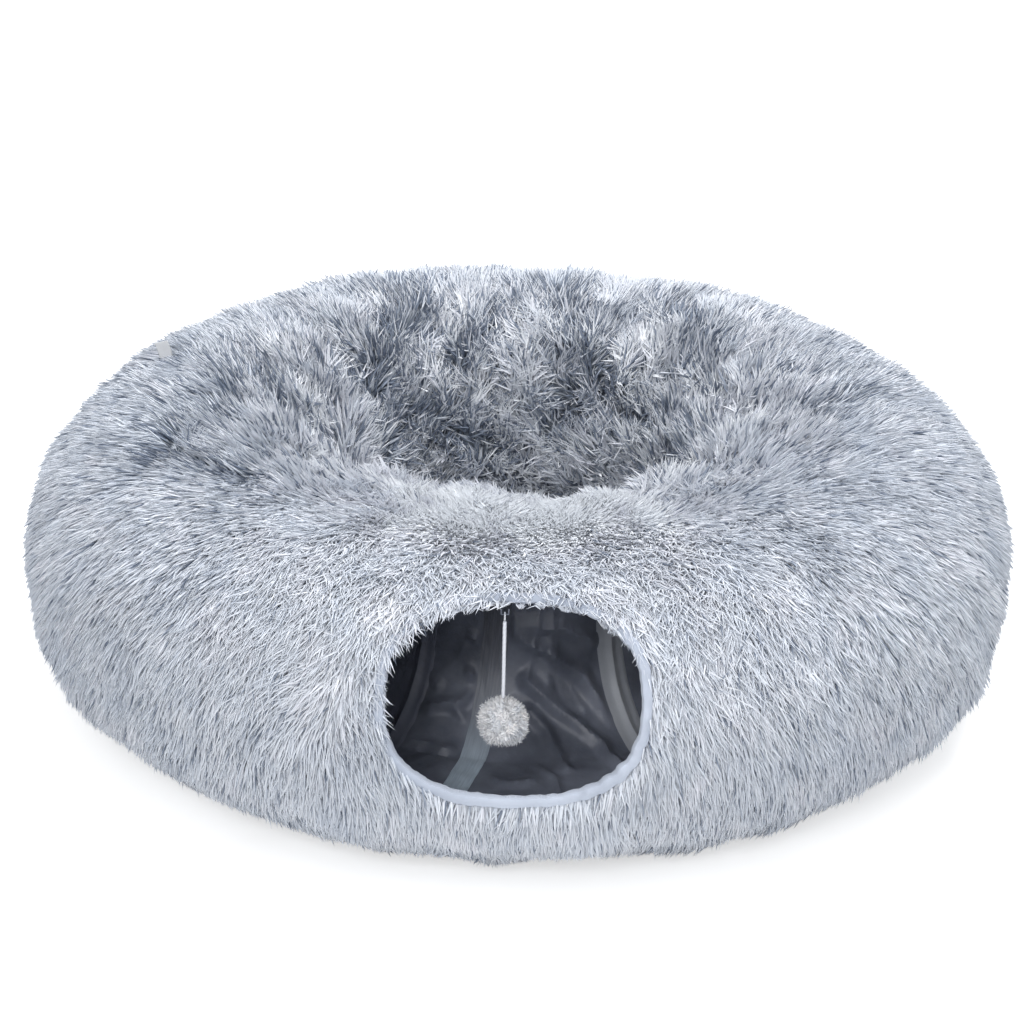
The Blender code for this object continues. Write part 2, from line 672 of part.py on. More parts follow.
def add_pull(parent):
    """Add the slider's pull: a flat tab whose crossbar turns under the bail."""
    slot_start = PULL_CROSSBAR / 2
    tab = box_on_slider("zip_pull", -slot_start, PULL_LENGTH, PULL_HALF_HEIGHT, PULL_THICKNESS / 2, parent)
    slot = box_on_slider(
        "pull_slot", slot_start, slot_start + PULL_SLOT_LENGTH, PULL_SLOT_HALF_HEIGHT, PULL_THICKNESS, parent
    )
    cut(tab, slot)


def box_on_slider(name, start, end, half_height, half_thickness, parent):
    """Add a flat box that lies along the zip, centred on the pull's axis."""
    low, high = PULL_AXIS_RADIUS - half_thickness, PULL_AXIS_RADIUS + half_thickness
    corners = ((low, -half_height), (high, -half_height), (high, half_height), (low, half_height))
    loops = [[on_slider(along, radius, up) for radius, up in corners] for along in (start, end)]
    return loft(name, loops, ZIP_METAL, parent)


def ridge_point(side):
    """Return the point at a sideways place on the underside of the binding's upper edge."""
    ridge = binding_loop(0.0, BINDING_WIDTH)
    middle = entrance_frame()[0].z
    for near, far in zip(ridge, ridge[1:]):
        if near.z > middle and far.x <= side <= near.x:
            return near.lerp(far, (near.x - side) / (near.x - far.x))
    raise ValueError(side)


TAB_SEAT = ridge_point(TOY_SIDE)
FORE_AXIS = TAB_SEAT - Vector((0.0, 0.0, FIT_GAP + TAB_DROP))
LOOP_CENTRE = FORE_AXIS - Vector((0.0, 0.0, LOOP_RADIUS - LOOP_THREAD_RADIUS - TAB_RADIUS - FIT_GAP))
SIDE_AXIS = LOOP_CENTRE - Vector((0.0, 0.0, LOOP_RADIUS))
CORD_TOP = SIDE_AXIS - Vector((0.0, 0.0, LOOP_THREAD_RADIUS + FIT_GAP))
CORD_FOOT = CORD_TOP - Vector((0.0, 0.0, CORD_LENGTH))
POMPOM_CENTRE = CORD_FOOT - Vector((0.0, 0.0, FIT_GAP + POMPOM_RADIUS))


def add_toy(root, fore_axis, side_axis):
    """Add the toy: the tab sewn to the binding, the loop that hangs on it, the cord and the pom-pom."""
    legs = []
    for offset in (-TAB_HALF_WIDTH, TAB_HALF_WIDTH):
        top = ridge_point(TOY_SIDE + offset).z - FIT_GAP
        ends = [Vector((TOY_SIDE + offset, TAB_SEAT.y, height)) for height in (top, FORE_AXIS.z)]
        legs += ends if offset < 0 else ends[::-1]
    rod("toy_tab", legs, TAB_RADIUS, TAPE, root)
    loop = []
    for k in range(LOOP_STEPS):
        angle = 2 * math.pi * k / LOOP_STEPS
        reach = Vector((0.0, math.cos(angle), math.sin(angle))) * LOOP_RADIUS
        loop.append(LOOP_CENTRE + reach)
    rod("toy_loop", loop, LOOP_THREAD_RADIUS, CORD, fore_axis, cyclic=True)
    count = round(CORD_LENGTH / CORD_POINT_SPACING)
    cord = [CORD_TOP.lerp(CORD_FOOT, k / count) for k in range(count + 1)]
    rod("toy_cord", cord, CORD_DIAMETER / 2, CORD, side_axis, bevel_resolution=2)
    bm = bmesh.new()
    place = Matrix.Translation(POMPOM_CENTRE)
    bmesh.ops.create_icosphere(bm, subdivisions=POMPOM_SUBDIVISIONS, radius=POMPOM_RADIUS, matrix=place)
    add_object("pompom", mesh_from(bm, "pompom"), POMPOM, side_axis)


def add_label(parent):
    """Add the blank woven label that stands in the left side seam."""
    foot = SEAM_DRAW_IN - FIT_GAP
    turn = math.radians(LABEL_TURN_DEG)
    half_turn = LABEL_HALF_WIDTH / TUBE_HALF_WIDTH
    loops = []
    for depth in (foot, foot - LABEL_LENGTH):
        left = beside(depth, turn, -SIDE_SEAM_DEG, -LABEL_THICKNESS / 2)
        right = beside(depth, turn, -SIDE_SEAM_DEG, LABEL_THICKNESS / 2)
        corners = ((-half_turn, left), (half_turn, left), (half_turn, right), (-half_turn, right))
        loops.append([wall_point(depth, turn + offset, azimuth) for offset, azimuth in corners])
    loft("side_label", loops, LABEL, parent)


def build():
    """Build the whole tunnel, with one empty on the axis of each thing that moves."""
    clear_scene()
    root = add_axis("cat_tunnel", (0.0, 0.0, 0.0))
    add_floor(root)
    add_wall(root)
    for number, azimuth in enumerate(HOOP_AZIMUTHS_DEG, start=1):
        add_hoop(number, azimuth, root)
    add_seam_tape(root)
    add_entrance(root)
    add_label(root)
    mat_axis = add_axis("mat_lift", (0.0, 0.0, MAT_FLOOR), root)
    add_mat(mat_axis)
    slider_axis = add_axis("zip_slide", (0.0, 0.0, MAT_SEAM_HEIGHT), mat_axis)
    pull_axis = add_axis("pull_flip", on_slider(0.0, PULL_AXIS_RADIUS, 0.0), slider_axis)
    add_zip(mat_axis, slider_axis, pull_axis)
    fore_axis = add_axis("toy_swing_fore", FORE_AXIS, root)
    side_axis = add_axis("toy_swing_side", SIDE_AXIS, fore_axis)
    add_toy(root, fore_axis, side_axis)


build()
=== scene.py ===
"""Looks of the donut cat tunnel: long frosted plush over a ring, a crinkled lining, a hanging toy and a mat.

Metres, +Z up, with the origin at the centre of the ring on the floor and the entrance at -Y.
An azimuth is measured round the ring from the entrance, positive towards +X, and a turn round the tube's
section from its outermost point, positive upwards, both in degrees.
A depth is measured into the wall from the tips of the pile.
"""

import logging
import math
from collections.abc import Callable
from dataclasses import dataclass, field, replace
from enum import Enum

import bpy
import numpy as np
from mathutils import Euler, Matrix, Vector
from mathutils.kdtree import KDTree


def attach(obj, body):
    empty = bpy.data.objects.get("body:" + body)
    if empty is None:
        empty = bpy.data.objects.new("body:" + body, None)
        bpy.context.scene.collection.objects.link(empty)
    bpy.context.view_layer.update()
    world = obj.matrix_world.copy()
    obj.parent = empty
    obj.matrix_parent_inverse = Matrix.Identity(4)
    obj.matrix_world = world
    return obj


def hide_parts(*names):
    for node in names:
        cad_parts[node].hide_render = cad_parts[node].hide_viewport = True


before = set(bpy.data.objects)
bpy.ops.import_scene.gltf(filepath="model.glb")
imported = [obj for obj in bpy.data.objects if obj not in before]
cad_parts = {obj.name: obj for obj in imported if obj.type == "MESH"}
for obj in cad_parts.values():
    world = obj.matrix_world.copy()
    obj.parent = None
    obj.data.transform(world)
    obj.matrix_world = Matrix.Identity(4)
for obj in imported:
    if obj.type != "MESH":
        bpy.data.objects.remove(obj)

Array = np.ndarray
Colour = tuple[float, float, float]
Material = bpy.types.Material
Object = bpy.types.Object
Layer = Callable[[Array, Array, Array], Array]
Place = Callable[[Array, Array], Array]
Socket = bpy.types.NodeSocket

LOG = logging.getLogger("cat_tunnel")
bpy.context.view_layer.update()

BAKE_MAP = "OFBake"
WELD_DISTANCE = 1e-6
FULL_TURN = 360.0
CREASE_DEG = 40.0
PLASTIC_NUMBER = 1.32471795724
WHITE = (1.0, 1.0, 1.0)


class Body(Enum):
    """The moving bodies of the frame."""

    RING = "ring"
    MAT = "mat"
    TOY = "toy"


class Slot(Enum):
    """The record's material slots."""

    PLUSH = "plush"
    MAT_PLUSH = "mat_plush"
    WADDING = "wadding"
    LINING = "lining"
    TAPE = "tape"
    BINDING = "binding"
    SPRING_WIRE = "spring_wire"
    BASE_CLOTH = "base_cloth"
    FILLING = "filling"
    CORD = "cord"
    POMPOM = "pompom"
    LABEL = "label"


def smooth_step(value: Array, low: float, high: float) -> Array:
    """Rise smoothly from 0 at low to 1 at high.

    Args:
        value: The values to judge.
        low: Where the rise starts.
        high: Where the rise ends. It may be less than low, which makes a fall.

    Returns:
        The shares, from 0 to 1.
    """
    share = np.clip((value - low) / (high - low), 0.0, 1.0)
    return share * share * (3.0 - 2.0 * share)


def signed_power(value: Array, exponent: Array | float) -> Array:
    """Raise the size of each value to a power and keep its sign."""
    return np.copysign(np.abs(value) ** exponent, value)


def squarish(angle: Array, exponent: Array | float) -> tuple[Array, Array]:
    """Return the two places on a squarish round of size one, whose corners fill as the exponent falls."""
    return signed_power(np.cos(angle), exponent), signed_power(np.sin(angle), exponent)


def unit(vectors: Array) -> Array:
    """Scale vectors to length one."""
    return vectors / np.maximum(np.linalg.norm(vectors, axis=-1, keepdims=True), 1e-12)


def whole_turn(share: Array, whole: float = 2.0 * math.pi) -> Array:
    """Return the angles at shares of a whole turn, in radians unless the whole is given in degrees."""
    return (share % 1.0) * whole


def wrapped(angle: Array, lowest: float = -180.0) -> Array:
    """Bring angles in degrees into the whole turn that starts at the lowest."""
    return (angle - lowest) % FULL_TURN + lowest


def ring_points(radius: Array, bearing: Array, height: Array) -> Array:
    """Return points by their radii, their bearings from the entrance in radians, and their heights."""
    return np.stack([radius * np.sin(bearing), -radius * np.cos(bearing), height], axis=-1)


def even_shares(count: int) -> tuple[Array, Array]:
    """Spread points evenly over a unit square, in an order that never clusters.

    Args:
        count: How many points.

    Returns:
        Their shares across and along.
    """
    index = np.arange(1, count + 1)
    return (index / PLASTIC_NUMBER) % 1.0, (index / PLASTIC_NUMBER**2) % 1.0


@dataclass(frozen=True)
class Swells:
    """Smooth random swells through space, the same ones each time."""

    seed: int
    length: float
    count: int = 20

    def at(self, points: Array) -> Array:
        """Return the swell at each point, mostly between -1.5 and 1.5."""
        draw = np.random.default_rng(self.seed)
        directions = unit(draw.normal(size=(self.count, 3)))
        lengths = self.length * draw.uniform(0.7, 1.5, self.count)
        phases = draw.uniform(0.0, 2.0 * math.pi, self.count)
        travel = points @ (directions / lengths[:, None]).T
        return np.sin(2.0 * math.pi * travel + phases).sum(axis=1) / math.sqrt(self.count / 2.0)


@dataclass(frozen=True)
class Tube:
    """The ring's tube: a squarish oval section, flat where it rests, swept round the well."""

    ring_radius: float = 0.266
    half_width: float = 0.144
    half_height: float = 0.1375
    centre_height: float = 0.1293
    floor: float = 0.0018
    upper_squareness: float = 2.0
    lower_squareness: float = 2.4
    probe_deg: float = 0.5

    def points(self, azimuth: Array, turn: Array, depth: Array | float) -> Array:
        """Return the points of the wall at given azimuths, turns and depths."""
        bearing = np.radians(azimuth)
        angle = np.radians(turn)
        exponent = np.where(np.sin(angle) >= 0.0, 2.0 / self.upper_squareness, 2.0 / self.lower_squareness)
        out, up = squarish(angle, exponent)
        height = np.maximum(self.centre_height + (self.half_height - depth) * up, self.floor + depth)
        return ring_points(self.ring_radius + (self.half_width - depth) * out, bearing, height)

    def frames(self, azimuth: Array, turn: Array, depth: Array | float) -> tuple[Array, Array, Array]:
        """Find the directions of the wall at given places.

        Args:
            azimuth: Azimuths in degrees.
            turn: Turns in degrees.
            depth: Depths of the layer.

        Returns:
            Unit vectors across the panel, down the nap and outward from the tube.
        """
        probe = self.probe_deg
        across = unit(self.points(azimuth + probe, turn, depth) - self.points(azimuth - probe, turn, depth))
        down = unit(self.points(azimuth, turn - probe, depth) - self.points(azimuth, turn + probe, depth))
        return across, down, unit(np.cross(down, across))

    def beside(self, azimuth: Array | float, turn: Array, depth: Array, offset: Array) -> Array:
        """Return the points that lie a length beside the wall's points at given places."""
        place = self.points(azimuth, turn, depth)
        shift = np.degrees(offset / np.hypot(place[..., 0], place[..., 1]))
        return self.points(azimuth + shift, turn, depth)


@dataclass(frozen=True)
class Entrance:
    """The oval entrance, cut square to a plane that leans back."""

    tube: Tube
    half_width: float = 0.0997
    half_height: float = 0.0767
    side: float = -0.0015
    turn_deg: float = 20.7
    squareness: float = 2.5
    gap: float = 0.0003
    cut_overrun: float = 0.05
    halvings: int = 40

    def axes(self) -> tuple[Array, Array, Array, Array]:
        """Return the entrance's centre and its sideways, upward and outward directions."""
        lean = math.radians(self.turn_deg)
        centre = self.tube.points(np.array(0.0), np.array(self.turn_deg), 0.0)
        centre[0] = self.side
        upward = np.array([0.0, math.sin(lean), math.cos(lean)])
        outward = np.array([0.0, -math.cos(lean), math.sin(lean)])
        return centre, np.array([1.0, 0.0, 0.0]), upward, outward

    def points(self, angle: Array, inset: Array | float, shift: Array | float) -> Array:
        """Return points on the oval, drawn in by an inset and shifted outward from its plane."""
        centre, sideways, upward, outward = self.axes()
        across, up = squarish(angle, 2.0 / self.squareness)
        across, up = (self.half_width - inset) * across, (self.half_height - inset) * up
        shifts = np.broadcast_to(shift, across.shape)
        in_plane = centre + across[..., None] * sideways + up[..., None] * upward
        return in_plane + shifts[..., None] * outward

    def reach(self, points: Array) -> Array:
        """Judge how far points lie from the oval's middle.

        Args:
            points: Points anywhere.

        Returns:
            Shares that are 1 on the oval's edge and less inside it. Points behind the tunnel's middle
            count as far outside.
        """
        centre, sideways, upward, outward = self.axes()
        offset = points - centre
        across = np.abs(offset @ sideways / self.half_width)
        up = np.abs(offset @ upward / self.half_height)
        share = (across**self.squareness + up**self.squareness) ** (1.0 / self.squareness)
        return np.where(offset @ outward > -self.tube.half_width, share, 9.0)

    def edge_shift(self, angle: Array, depth: float) -> Array:
        """Return how far outward from its plane the oval meets the wall's layer at a depth."""
        inside = np.full(angle.shape, -self.tube.half_width)
        outside = np.full(angle.shape, self.cut_overrun)
        for _ in range(self.halvings):
            middle = (inside + outside) / 2.0
            place = self.points(angle, 0.0, middle)
            up = place[..., 2] - self.tube.centre_height
            out = np.hypot(place[..., 0], place[..., 1]) - self.tube.ring_radius
            power = np.where(up >= 0.0, self.tube.upper_squareness, self.tube.lower_squareness)
            excess = np.abs(out / (self.tube.half_width - depth)) ** power
            excess += np.abs(up / (self.tube.half_height - depth)) ** power - 1.0
            inside = np.where(excess > 0.0, inside, middle)
            outside = np.where(excess > 0.0, middle, outside)
        return inside


def clear_selection() -> None:
    """Deselect everything, because an operator acts on all that is selected."""
    bpy.ops.object.select_all(action="DESELECT")


def only(obj: Object) -> None:
    """Select one object alone and make it active."""
    clear_selection()
    obj.select_set(True)
    bpy.context.view_layer.objects.active = obj


def read_points(mesh: bpy.types.Mesh) -> Array:
    """Return the points of a mesh."""
    flat = np.empty(len(mesh.vertices) * 3)
    mesh.vertices.foreach_get("co", flat)
    return flat.reshape(-1, 3)


def write_points(mesh: bpy.types.Mesh, points: Array) -> None:
    """Move the points of a mesh."""
    mesh.vertices.foreach_set("co", points.astype(np.float32).ravel())
    mesh.update()


def add_map(mesh: bpy.types.Mesh, places: Array) -> None:
    """Give a mesh the map that its finish follows, with one place for each face corner."""
    layer = mesh.uv_layers.get(BAKE_MAP) or mesh.uv_layers.new(name=BAKE_MAP)
    layer.uv.foreach_set("vector", places.astype(np.float32).ravel())


def rolled_grid(
    name: str, columns: int, rows: int, place: Place, tiles: tuple[float, float] = (1.0, 1.0)
) -> Object:
    """Lay a grid along a surface and weld the edges that meet.

    Args:
        name: The piece's name.
        columns: How many cells across.
        rows: How many cells along.
        place: Gives the points for shares across and along, from 0 to 1.
        tiles: The size of its map across and along, in metres for a weave.

    Returns:
        The object, at the origin.
    """
    clear_selection()
    bpy.ops.mesh.primitive_grid_add(x_subdivisions=columns, y_subdivisions=rows, size=1.0)
    obj = bpy.context.object
    obj.name = obj.data.name = name
    shares = np.clip(np.round(read_points(obj.data)[:, :2] + 0.5, 6), 0.0, 1.0)
    corners = np.empty(len(obj.data.loops), np.int32)
    obj.data.loops.foreach_get("vertex_index", corners)
    add_map(obj.data, shares[corners] * np.array(tiles))
    write_points(obj.data, place(shares[:, 0], shares[:, 1]))
    bpy.ops.object.mode_set(mode="EDIT")
    bpy.ops.mesh.select_all(action="SELECT")
    bpy.ops.mesh.remove_doubles(threshold=WELD_DISTANCE)
    bpy.ops.mesh.normals_make_consistent(inside=False)
    bpy.ops.object.mode_set(mode="OBJECT")
    bpy.ops.object.shade_smooth_by_angle(angle=math.radians(CREASE_DEG))
    return obj


def shell_cells(columns: int) -> int:
    """Return how many cells go round a thin shell with a number of columns on each face."""
    return 2 * columns + 2


def shell_faces(across: Array, columns: int) -> tuple[Array, Array]:
    """Split the way round a thin shell into its two faces, which a narrow edge closes at each side.

    Args:
        across: Shares of the way round the shell.
        columns: How many columns each face has.

    Returns:
        Shares across the face, and whether each point is on the outer face.
    """
    cells = shell_cells(columns)
    step = np.round(across * cells) % cells
    outside = step <= columns
    return np.where(outside, step, cells - 1 - step) / columns, outside


def close_ends(obj: Object) -> None:
    """Close the open ends of a rolled strip."""
    only(obj)
    bpy.ops.object.mode_set(mode="EDIT")
    bpy.ops.mesh.select_all(action="DESELECT")
    bpy.ops.mesh.select_non_manifold()
    bpy.ops.mesh.edge_face_add()
    bpy.ops.mesh.select_all(action="SELECT")
    bpy.ops.mesh.normals_make_consistent(inside=False)
    bpy.ops.object.mode_set(mode="OBJECT")


def dress(obj: Object, finish: Material, body: Body, slot: Slot, *nodes: str) -> Object:
    """Give a finished piece its material and its body, and hide the nodes that it stands for.

    Args:
        obj: The piece, in place.
        finish: Its material.
        body: The body that it rides on.
        slot: Not used.
        *nodes: The nodes that it stands for.

    Returns:
        The same piece.
    """
    obj.data.materials.clear()
    obj.data.materials.append(finish)
    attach(obj, body.value)
    if nodes:
        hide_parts(*nodes)
    LOG.info("%s: %d faces on %s", obj.name, len(getattr(obj.data, "polygons", ())), body.value)
    return obj


class Recipe:
    """A material's node tree, with short ways to add and join its nodes."""

    def __init__(self, name: str, roughness: float, metallic: float = 0.0) -> None:
        """Start a material with one shader.

        Args:
            name: The material's name.
            roughness: The shader's roughness.
            metallic: The shader's metallic value.
        """
        self.material = bpy.data.materials.new(name)
        self.material.use_nodes = True
        self.tree = self.material.node_tree
        self.shader = self.tree.nodes["Principled BSDF"]
        self.shader.inputs["Roughness"].default_value = roughness
        self.shader.inputs["Metallic"].default_value = metallic

    def add(self, kind: str, **values: object) -> bpy.types.Node:
        """Add a node, and set its properties and the inputs that are named."""
        node = self.tree.nodes.new(kind)
        for key, value in values.items():
            if key in node.bl_rna.properties:
                setattr(node, key, value)
            else:
                node.inputs[key.replace("_", " ")].default_value = value
        return node

    def join(self, source: Socket, target: Socket) -> None:
        """Join two sockets."""
        self.tree.links.new(source, target)

    def ramp(self, factor: Socket, stops: tuple[tuple[float, Colour], ...]) -> Socket:
        """Turn a factor into a colour by stops of place and colour."""
        node = self.add("ShaderNodeValToRGB")
        elements = node.color_ramp.elements
        while len(elements) < len(stops):
            elements.new(1.0)
        for element, (position, colour) in zip(elements, stops):
            element.position = position
            element.color = (*colour, 1.0)
        self.join(factor, node.inputs["Fac"])
        return node.outputs["Color"]

    def multiply(self, first: Socket, second: Socket) -> Socket:
        """Multiply two colours."""
        node = self.add("ShaderNodeMix", data_type="RGBA", blend_type="MULTIPLY")
        node.inputs[0].default_value = 1.0
        self.join(first, node.inputs[6])
        self.join(second, node.inputs[7])
        return node.outputs[2]

    def noise(self, scale: float, detail: float, vector: Socket | None = None) -> Socket:
        """Add a noise on the object's own coordinates, or on another vector."""
        node = self.add("ShaderNodeTexNoise", Scale=scale, Detail=detail)
        self.join(vector or self.add("ShaderNodeTexCoord").outputs["Object"], node.inputs["Vector"])
        return node.outputs["Fac"]

    def map_vector(self, across: float = 1.0, along: float = 1.0) -> Socket:
        """Read the piece's own map, scaled across and along."""
        source = self.add("ShaderNodeUVMap", uv_map=BAKE_MAP)
        mapping = self.add("ShaderNodeMapping")
        mapping.inputs["Scale"].default_value = (across, along, 1.0)
        self.join(source.outputs["UV"], mapping.inputs["Vector"])
        return mapping.outputs["Vector"]

    def map_parts(self, across: float = 1.0, along: float = 1.0) -> tuple[Socket, Socket]:
        """Read the places across and along on the piece's own map, each scaled."""
        parts = self.add("ShaderNodeSeparateXYZ")
        self.join(self.map_vector(across, along), parts.inputs["Vector"])
        return parts.outputs["X"], parts.outputs["Y"]

    def bump(self, height: Socket, strength: float, distance: float) -> None:
        """Raise the surface by a height. Later bumps lie on earlier ones."""
        node = self.add("ShaderNodeBump", Strength=strength, Distance=distance)
        normal = self.shader.inputs["Normal"]
        if normal.is_linked:
            self.join(normal.links[0].from_socket, node.inputs["Normal"])
        self.join(height, node.inputs["Height"])
        self.join(node.outputs["Normal"], normal)

    def colour(self, source: Socket) -> Material:
        """Set the shader's colour and return the material."""
        self.join(source, self.shader.inputs["Base Color"])
        return self.material


@dataclass(frozen=True)
class PileFinish:
    """Frosted pile: slate at the root, pale at the tip, with a tint for each lock across its map, whose dark
    end is partly painted shade and whose end above white is painted light.
    """

    name: str
    root: Colour
    middle: Colour
    tip: Colour
    # Colour of the dark speck locks: partly the fur's own dark roots, partly painted shade in the gaps
    # between tufts.
    shade: Colour = (0.30, 0.335, 0.40)
    dull: Colour = (0.70, 0.73, 0.78)
    plain: Colour = (0.90, 0.92, 0.95)
    warm: Colour = (1.0, 0.98, 0.99)
    # Brighter than white: painted light, reached by the tints of the lip and the well.
    painted_light_tint: Colour = (1.24, 1.22, 1.18)
    roughness: float = 0.80
    specular: float = 0.12
    sheen: float = 0.05

    def material(self) -> Material:
        """Make the material."""
        recipe = Recipe(self.name, self.roughness)
        recipe.shader.inputs["Specular IOR Level"].default_value = self.specular
        recipe.shader.inputs["Sheen Weight"].default_value = self.sheen
        across, along = recipe.map_parts()
        frost = ((0.0, self.root), (0.16, self.root), (0.48, self.middle), (0.80, self.tip), (1.0, self.tip))
        # The tints run from painted shade at the dark end to painted light above white.
        tints_painted_shade_and_light = ((0.0, self.shade), (0.14, self.shade), (0.24, self.dull), (0.40, self.plain))
        tints_painted_shade_and_light += ((0.70, WHITE), (0.80, self.warm), (1.0, self.painted_light_tint))
        return recipe.colour(recipe.multiply(recipe.ramp(along, frost), recipe.ramp(across, tints_painted_shade_and_light)))


@dataclass(frozen=True)
class ClothFinish:
    """Woven cloth, with threads across its map, mottling and fine creases."""

    name: str
    low: Colour
    high: Colour
    threads_per_metre: float = 7000.0
    thread_height: float = 0.00003
    mottle_scale: float = 24.0
    crease_scale: float = 60.0
    crease_height: float = 0.0008
    roughness: float = 0.7
    sheen: float = 0.0

    def material(self) -> Material:
        """Make the material."""
        recipe = Recipe(self.name, self.roughness)
        recipe.shader.inputs["Sheen Weight"].default_value = self.sheen
        weave = recipe.add("ShaderNodeMath", operation="MULTIPLY")
        threads = recipe.map_parts(self.threads_per_metre, self.threads_per_metre)
        for thread, factor in zip(threads, weave.inputs):
            sine = recipe.add("ShaderNodeMath", operation="SINE")
            recipe.join(thread, sine.inputs[0])
            recipe.join(sine.outputs[0], factor)
        recipe.bump(recipe.noise(self.crease_scale, 4.0), 1.0, self.crease_height)
        recipe.bump(weave.outputs[0], 0.6, self.thread_height)
        mottle = recipe.noise(self.mottle_scale, 5.0)
        return recipe.colour(recipe.ramp(mottle, ((0.3, self.low), (0.7, self.high))))


@dataclass(frozen=True)
class TapeFinish:
    """Thin crimped tape, darker towards its top: painted shade."""

    name: str
    top: Colour
    middle: Colour
    foot: Colour
    length: float
    roughness: float = 0.45
    streak: Colour = (0.82, 0.83, 0.85)
    crimps_across: float = 700.0
    crimps_along: float = 40.0
    crimp_height: float = 0.0006

    def material(self) -> Material:
        """Make the material."""
        recipe = Recipe(self.name, self.roughness)
        _, along = recipe.map_parts(1.0, 1.0 / self.length)
        # From dark at the top to pale at the foot: painted shade.
        shade = recipe.ramp(along, ((0.50, self.top), (0.70, self.middle), (0.88, self.foot)))
        crimp = recipe.noise(1.0, 5.0, recipe.map_vector(self.crimps_across, self.crimps_along))
        recipe.bump(crimp, 0.8, self.crimp_height)
        streaks = recipe.ramp(crimp, ((0.35, self.streak), (0.65, WHITE)))
        return recipe.colour(recipe.multiply(shade, streaks))


@dataclass(frozen=True)
class FibreFinish:
    """Loose fibre, such as wadding, filling or the backing of a pile."""

    name: str
    low: Colour
    high: Colour
    scale: float = 160.0
    height: float = 0.0012
    roughness: float = 0.95

    def matted(self) -> tuple[Recipe, Socket]:
        """Start the material with its fibres, and return it with their height."""
        recipe = Recipe(self.name, self.roughness)
        fibre = recipe.noise(self.scale, 6.0)
        recipe.bump(fibre, 0.8, self.height)
        return recipe, fibre

    def material(self) -> Material:
        """Make the material."""
        recipe, fibre = self.matted()
        return recipe.colour(recipe.ramp(fibre, ((0.35, self.low), (0.65, self.high))))


@dataclass(frozen=True)
class WellShadedBackingFinish(FibreFinish):
    """The pile's backing cloth, in its low colour where it faces the well: painted shade of the well."""

    def material(self) -> Material:
        """Make the material."""
        recipe, _ = self.matted()
        _, along = recipe.map_parts()
        # Low colour on the side that faces the well: painted shade.
        stops = ((0.0, self.high), (0.25, self.high), (0.33, self.low), (0.62, self.low), (0.72, self.high))
        return recipe.colour(recipe.ramp(along, stops))


@dataclass(frozen=True)
class MetalFinish:
    """Drawn or cast metal with fine marks along its length."""

    name: str
    low: Colour
    high: Colour
    roughness: float = 0.32
    scale: float = 900.0

    def material(self) -> Material:
        """Make the material."""
        recipe = Recipe(self.name, self.roughness, 1.0)
        marks = recipe.noise(self.scale, 3.0)
        recipe.bump(marks, 0.2, 0.0001)
        return recipe.colour(recipe.ramp(marks, ((0.3, self.low), (0.7, self.high))))


@dataclass(frozen=True)
class CordFinish:
    """Twisted cord, with its plies slanting across its map."""

    name: str
    low: Colour
    high: Colour
    plies: float = 26.0

    def material(self) -> Material:
        """Make the material."""
        recipe = Recipe(self.name, 0.85)
        wave = recipe.add("ShaderNodeTexWave", Scale=self.plies, Distortion=0.6)
        recipe.join(recipe.map_vector(), wave.inputs["Vector"])
        recipe.bump(wave.outputs["Fac"], 0.5, 0.0003)
        return recipe.colour(recipe.ramp(wave.outputs["Fac"], ((0.1, self.low), (0.7, self.high))))


@dataclass(frozen=True)
class Seam:
    """A seam's azimuth at each turn, where the cloth's cut leans."""

    turns: tuple[float, ...]
    azimuths: tuple[float, ...]

    def at(self, turn: Array) -> Array:
        """Return the seam's azimuth at each turn."""
        return np.interp(wrapped(turn), self.turns, self.azimuths)


def straight_seam(azimuth: float) -> Seam:
    """Make a seam that stays at one azimuth all round the tube."""
    return Seam((-180.0, 180.0), (azimuth, azimuth))


SEAM_TURNS = (-180.0, -60.0, -8.0, 38.0, 58.0, 85.0, 150.0, 180.0)
RIGHT_FRONT_SEAM = Seam(SEAM_TURNS, (30.0, 30.5, 31.5, 28.2, 23.0, 19.4, 20.0, 30.0))
LEFT_FRONT_SEAM = Seam(SEAM_TURNS, (-30.0, -31.0, -30.5, -21.0, -19.0, -18.5, -20.0, -30.0))
RIGHT_SIDE_SEAM = straight_seam(105.0)
LEFT_SIDE_SEAM = straight_seam(-105.0)
RIGHT_BACK_SEAM = straight_seam(180.0)
LEFT_BACK_SEAM = straight_seam(-180.0)


@dataclass(frozen=True)
class Crease:
    """A line where the cloth is drawn in and the pile parts, as (azimuth, turn) places in degrees."""

    line: tuple[tuple[float, float], ...]
    size: float
    width: float
    parting: float = 1.0
    steps: int = 6

    def points(self, tube: Tube, depth: float = 0.0) -> Array:
        """Return the line's points on a layer of the wall."""
        azimuths, turns = np.array(self.line).T
        order = np.arange(len(self.line))
        shares = np.linspace(0.0, order[-1], order[-1] * self.steps + 1)
        return tube.points(np.interp(shares, order, azimuths), np.interp(shares, order, turns), depth)


@dataclass(frozen=True)
class Fold(Crease):
    """A crest of the lining, or a furrow where its size is negative."""

    steps: int = 4


def seam_crease(seam: Seam, low: float, high: float, size: float, width: float, parting: float) -> Crease:
    """Make the furrow of a seam between two turns."""
    turns = np.linspace(low, high, 15)
    return Crease(tuple(zip(seam.at(turns), turns)), size, width, parting, steps=2)


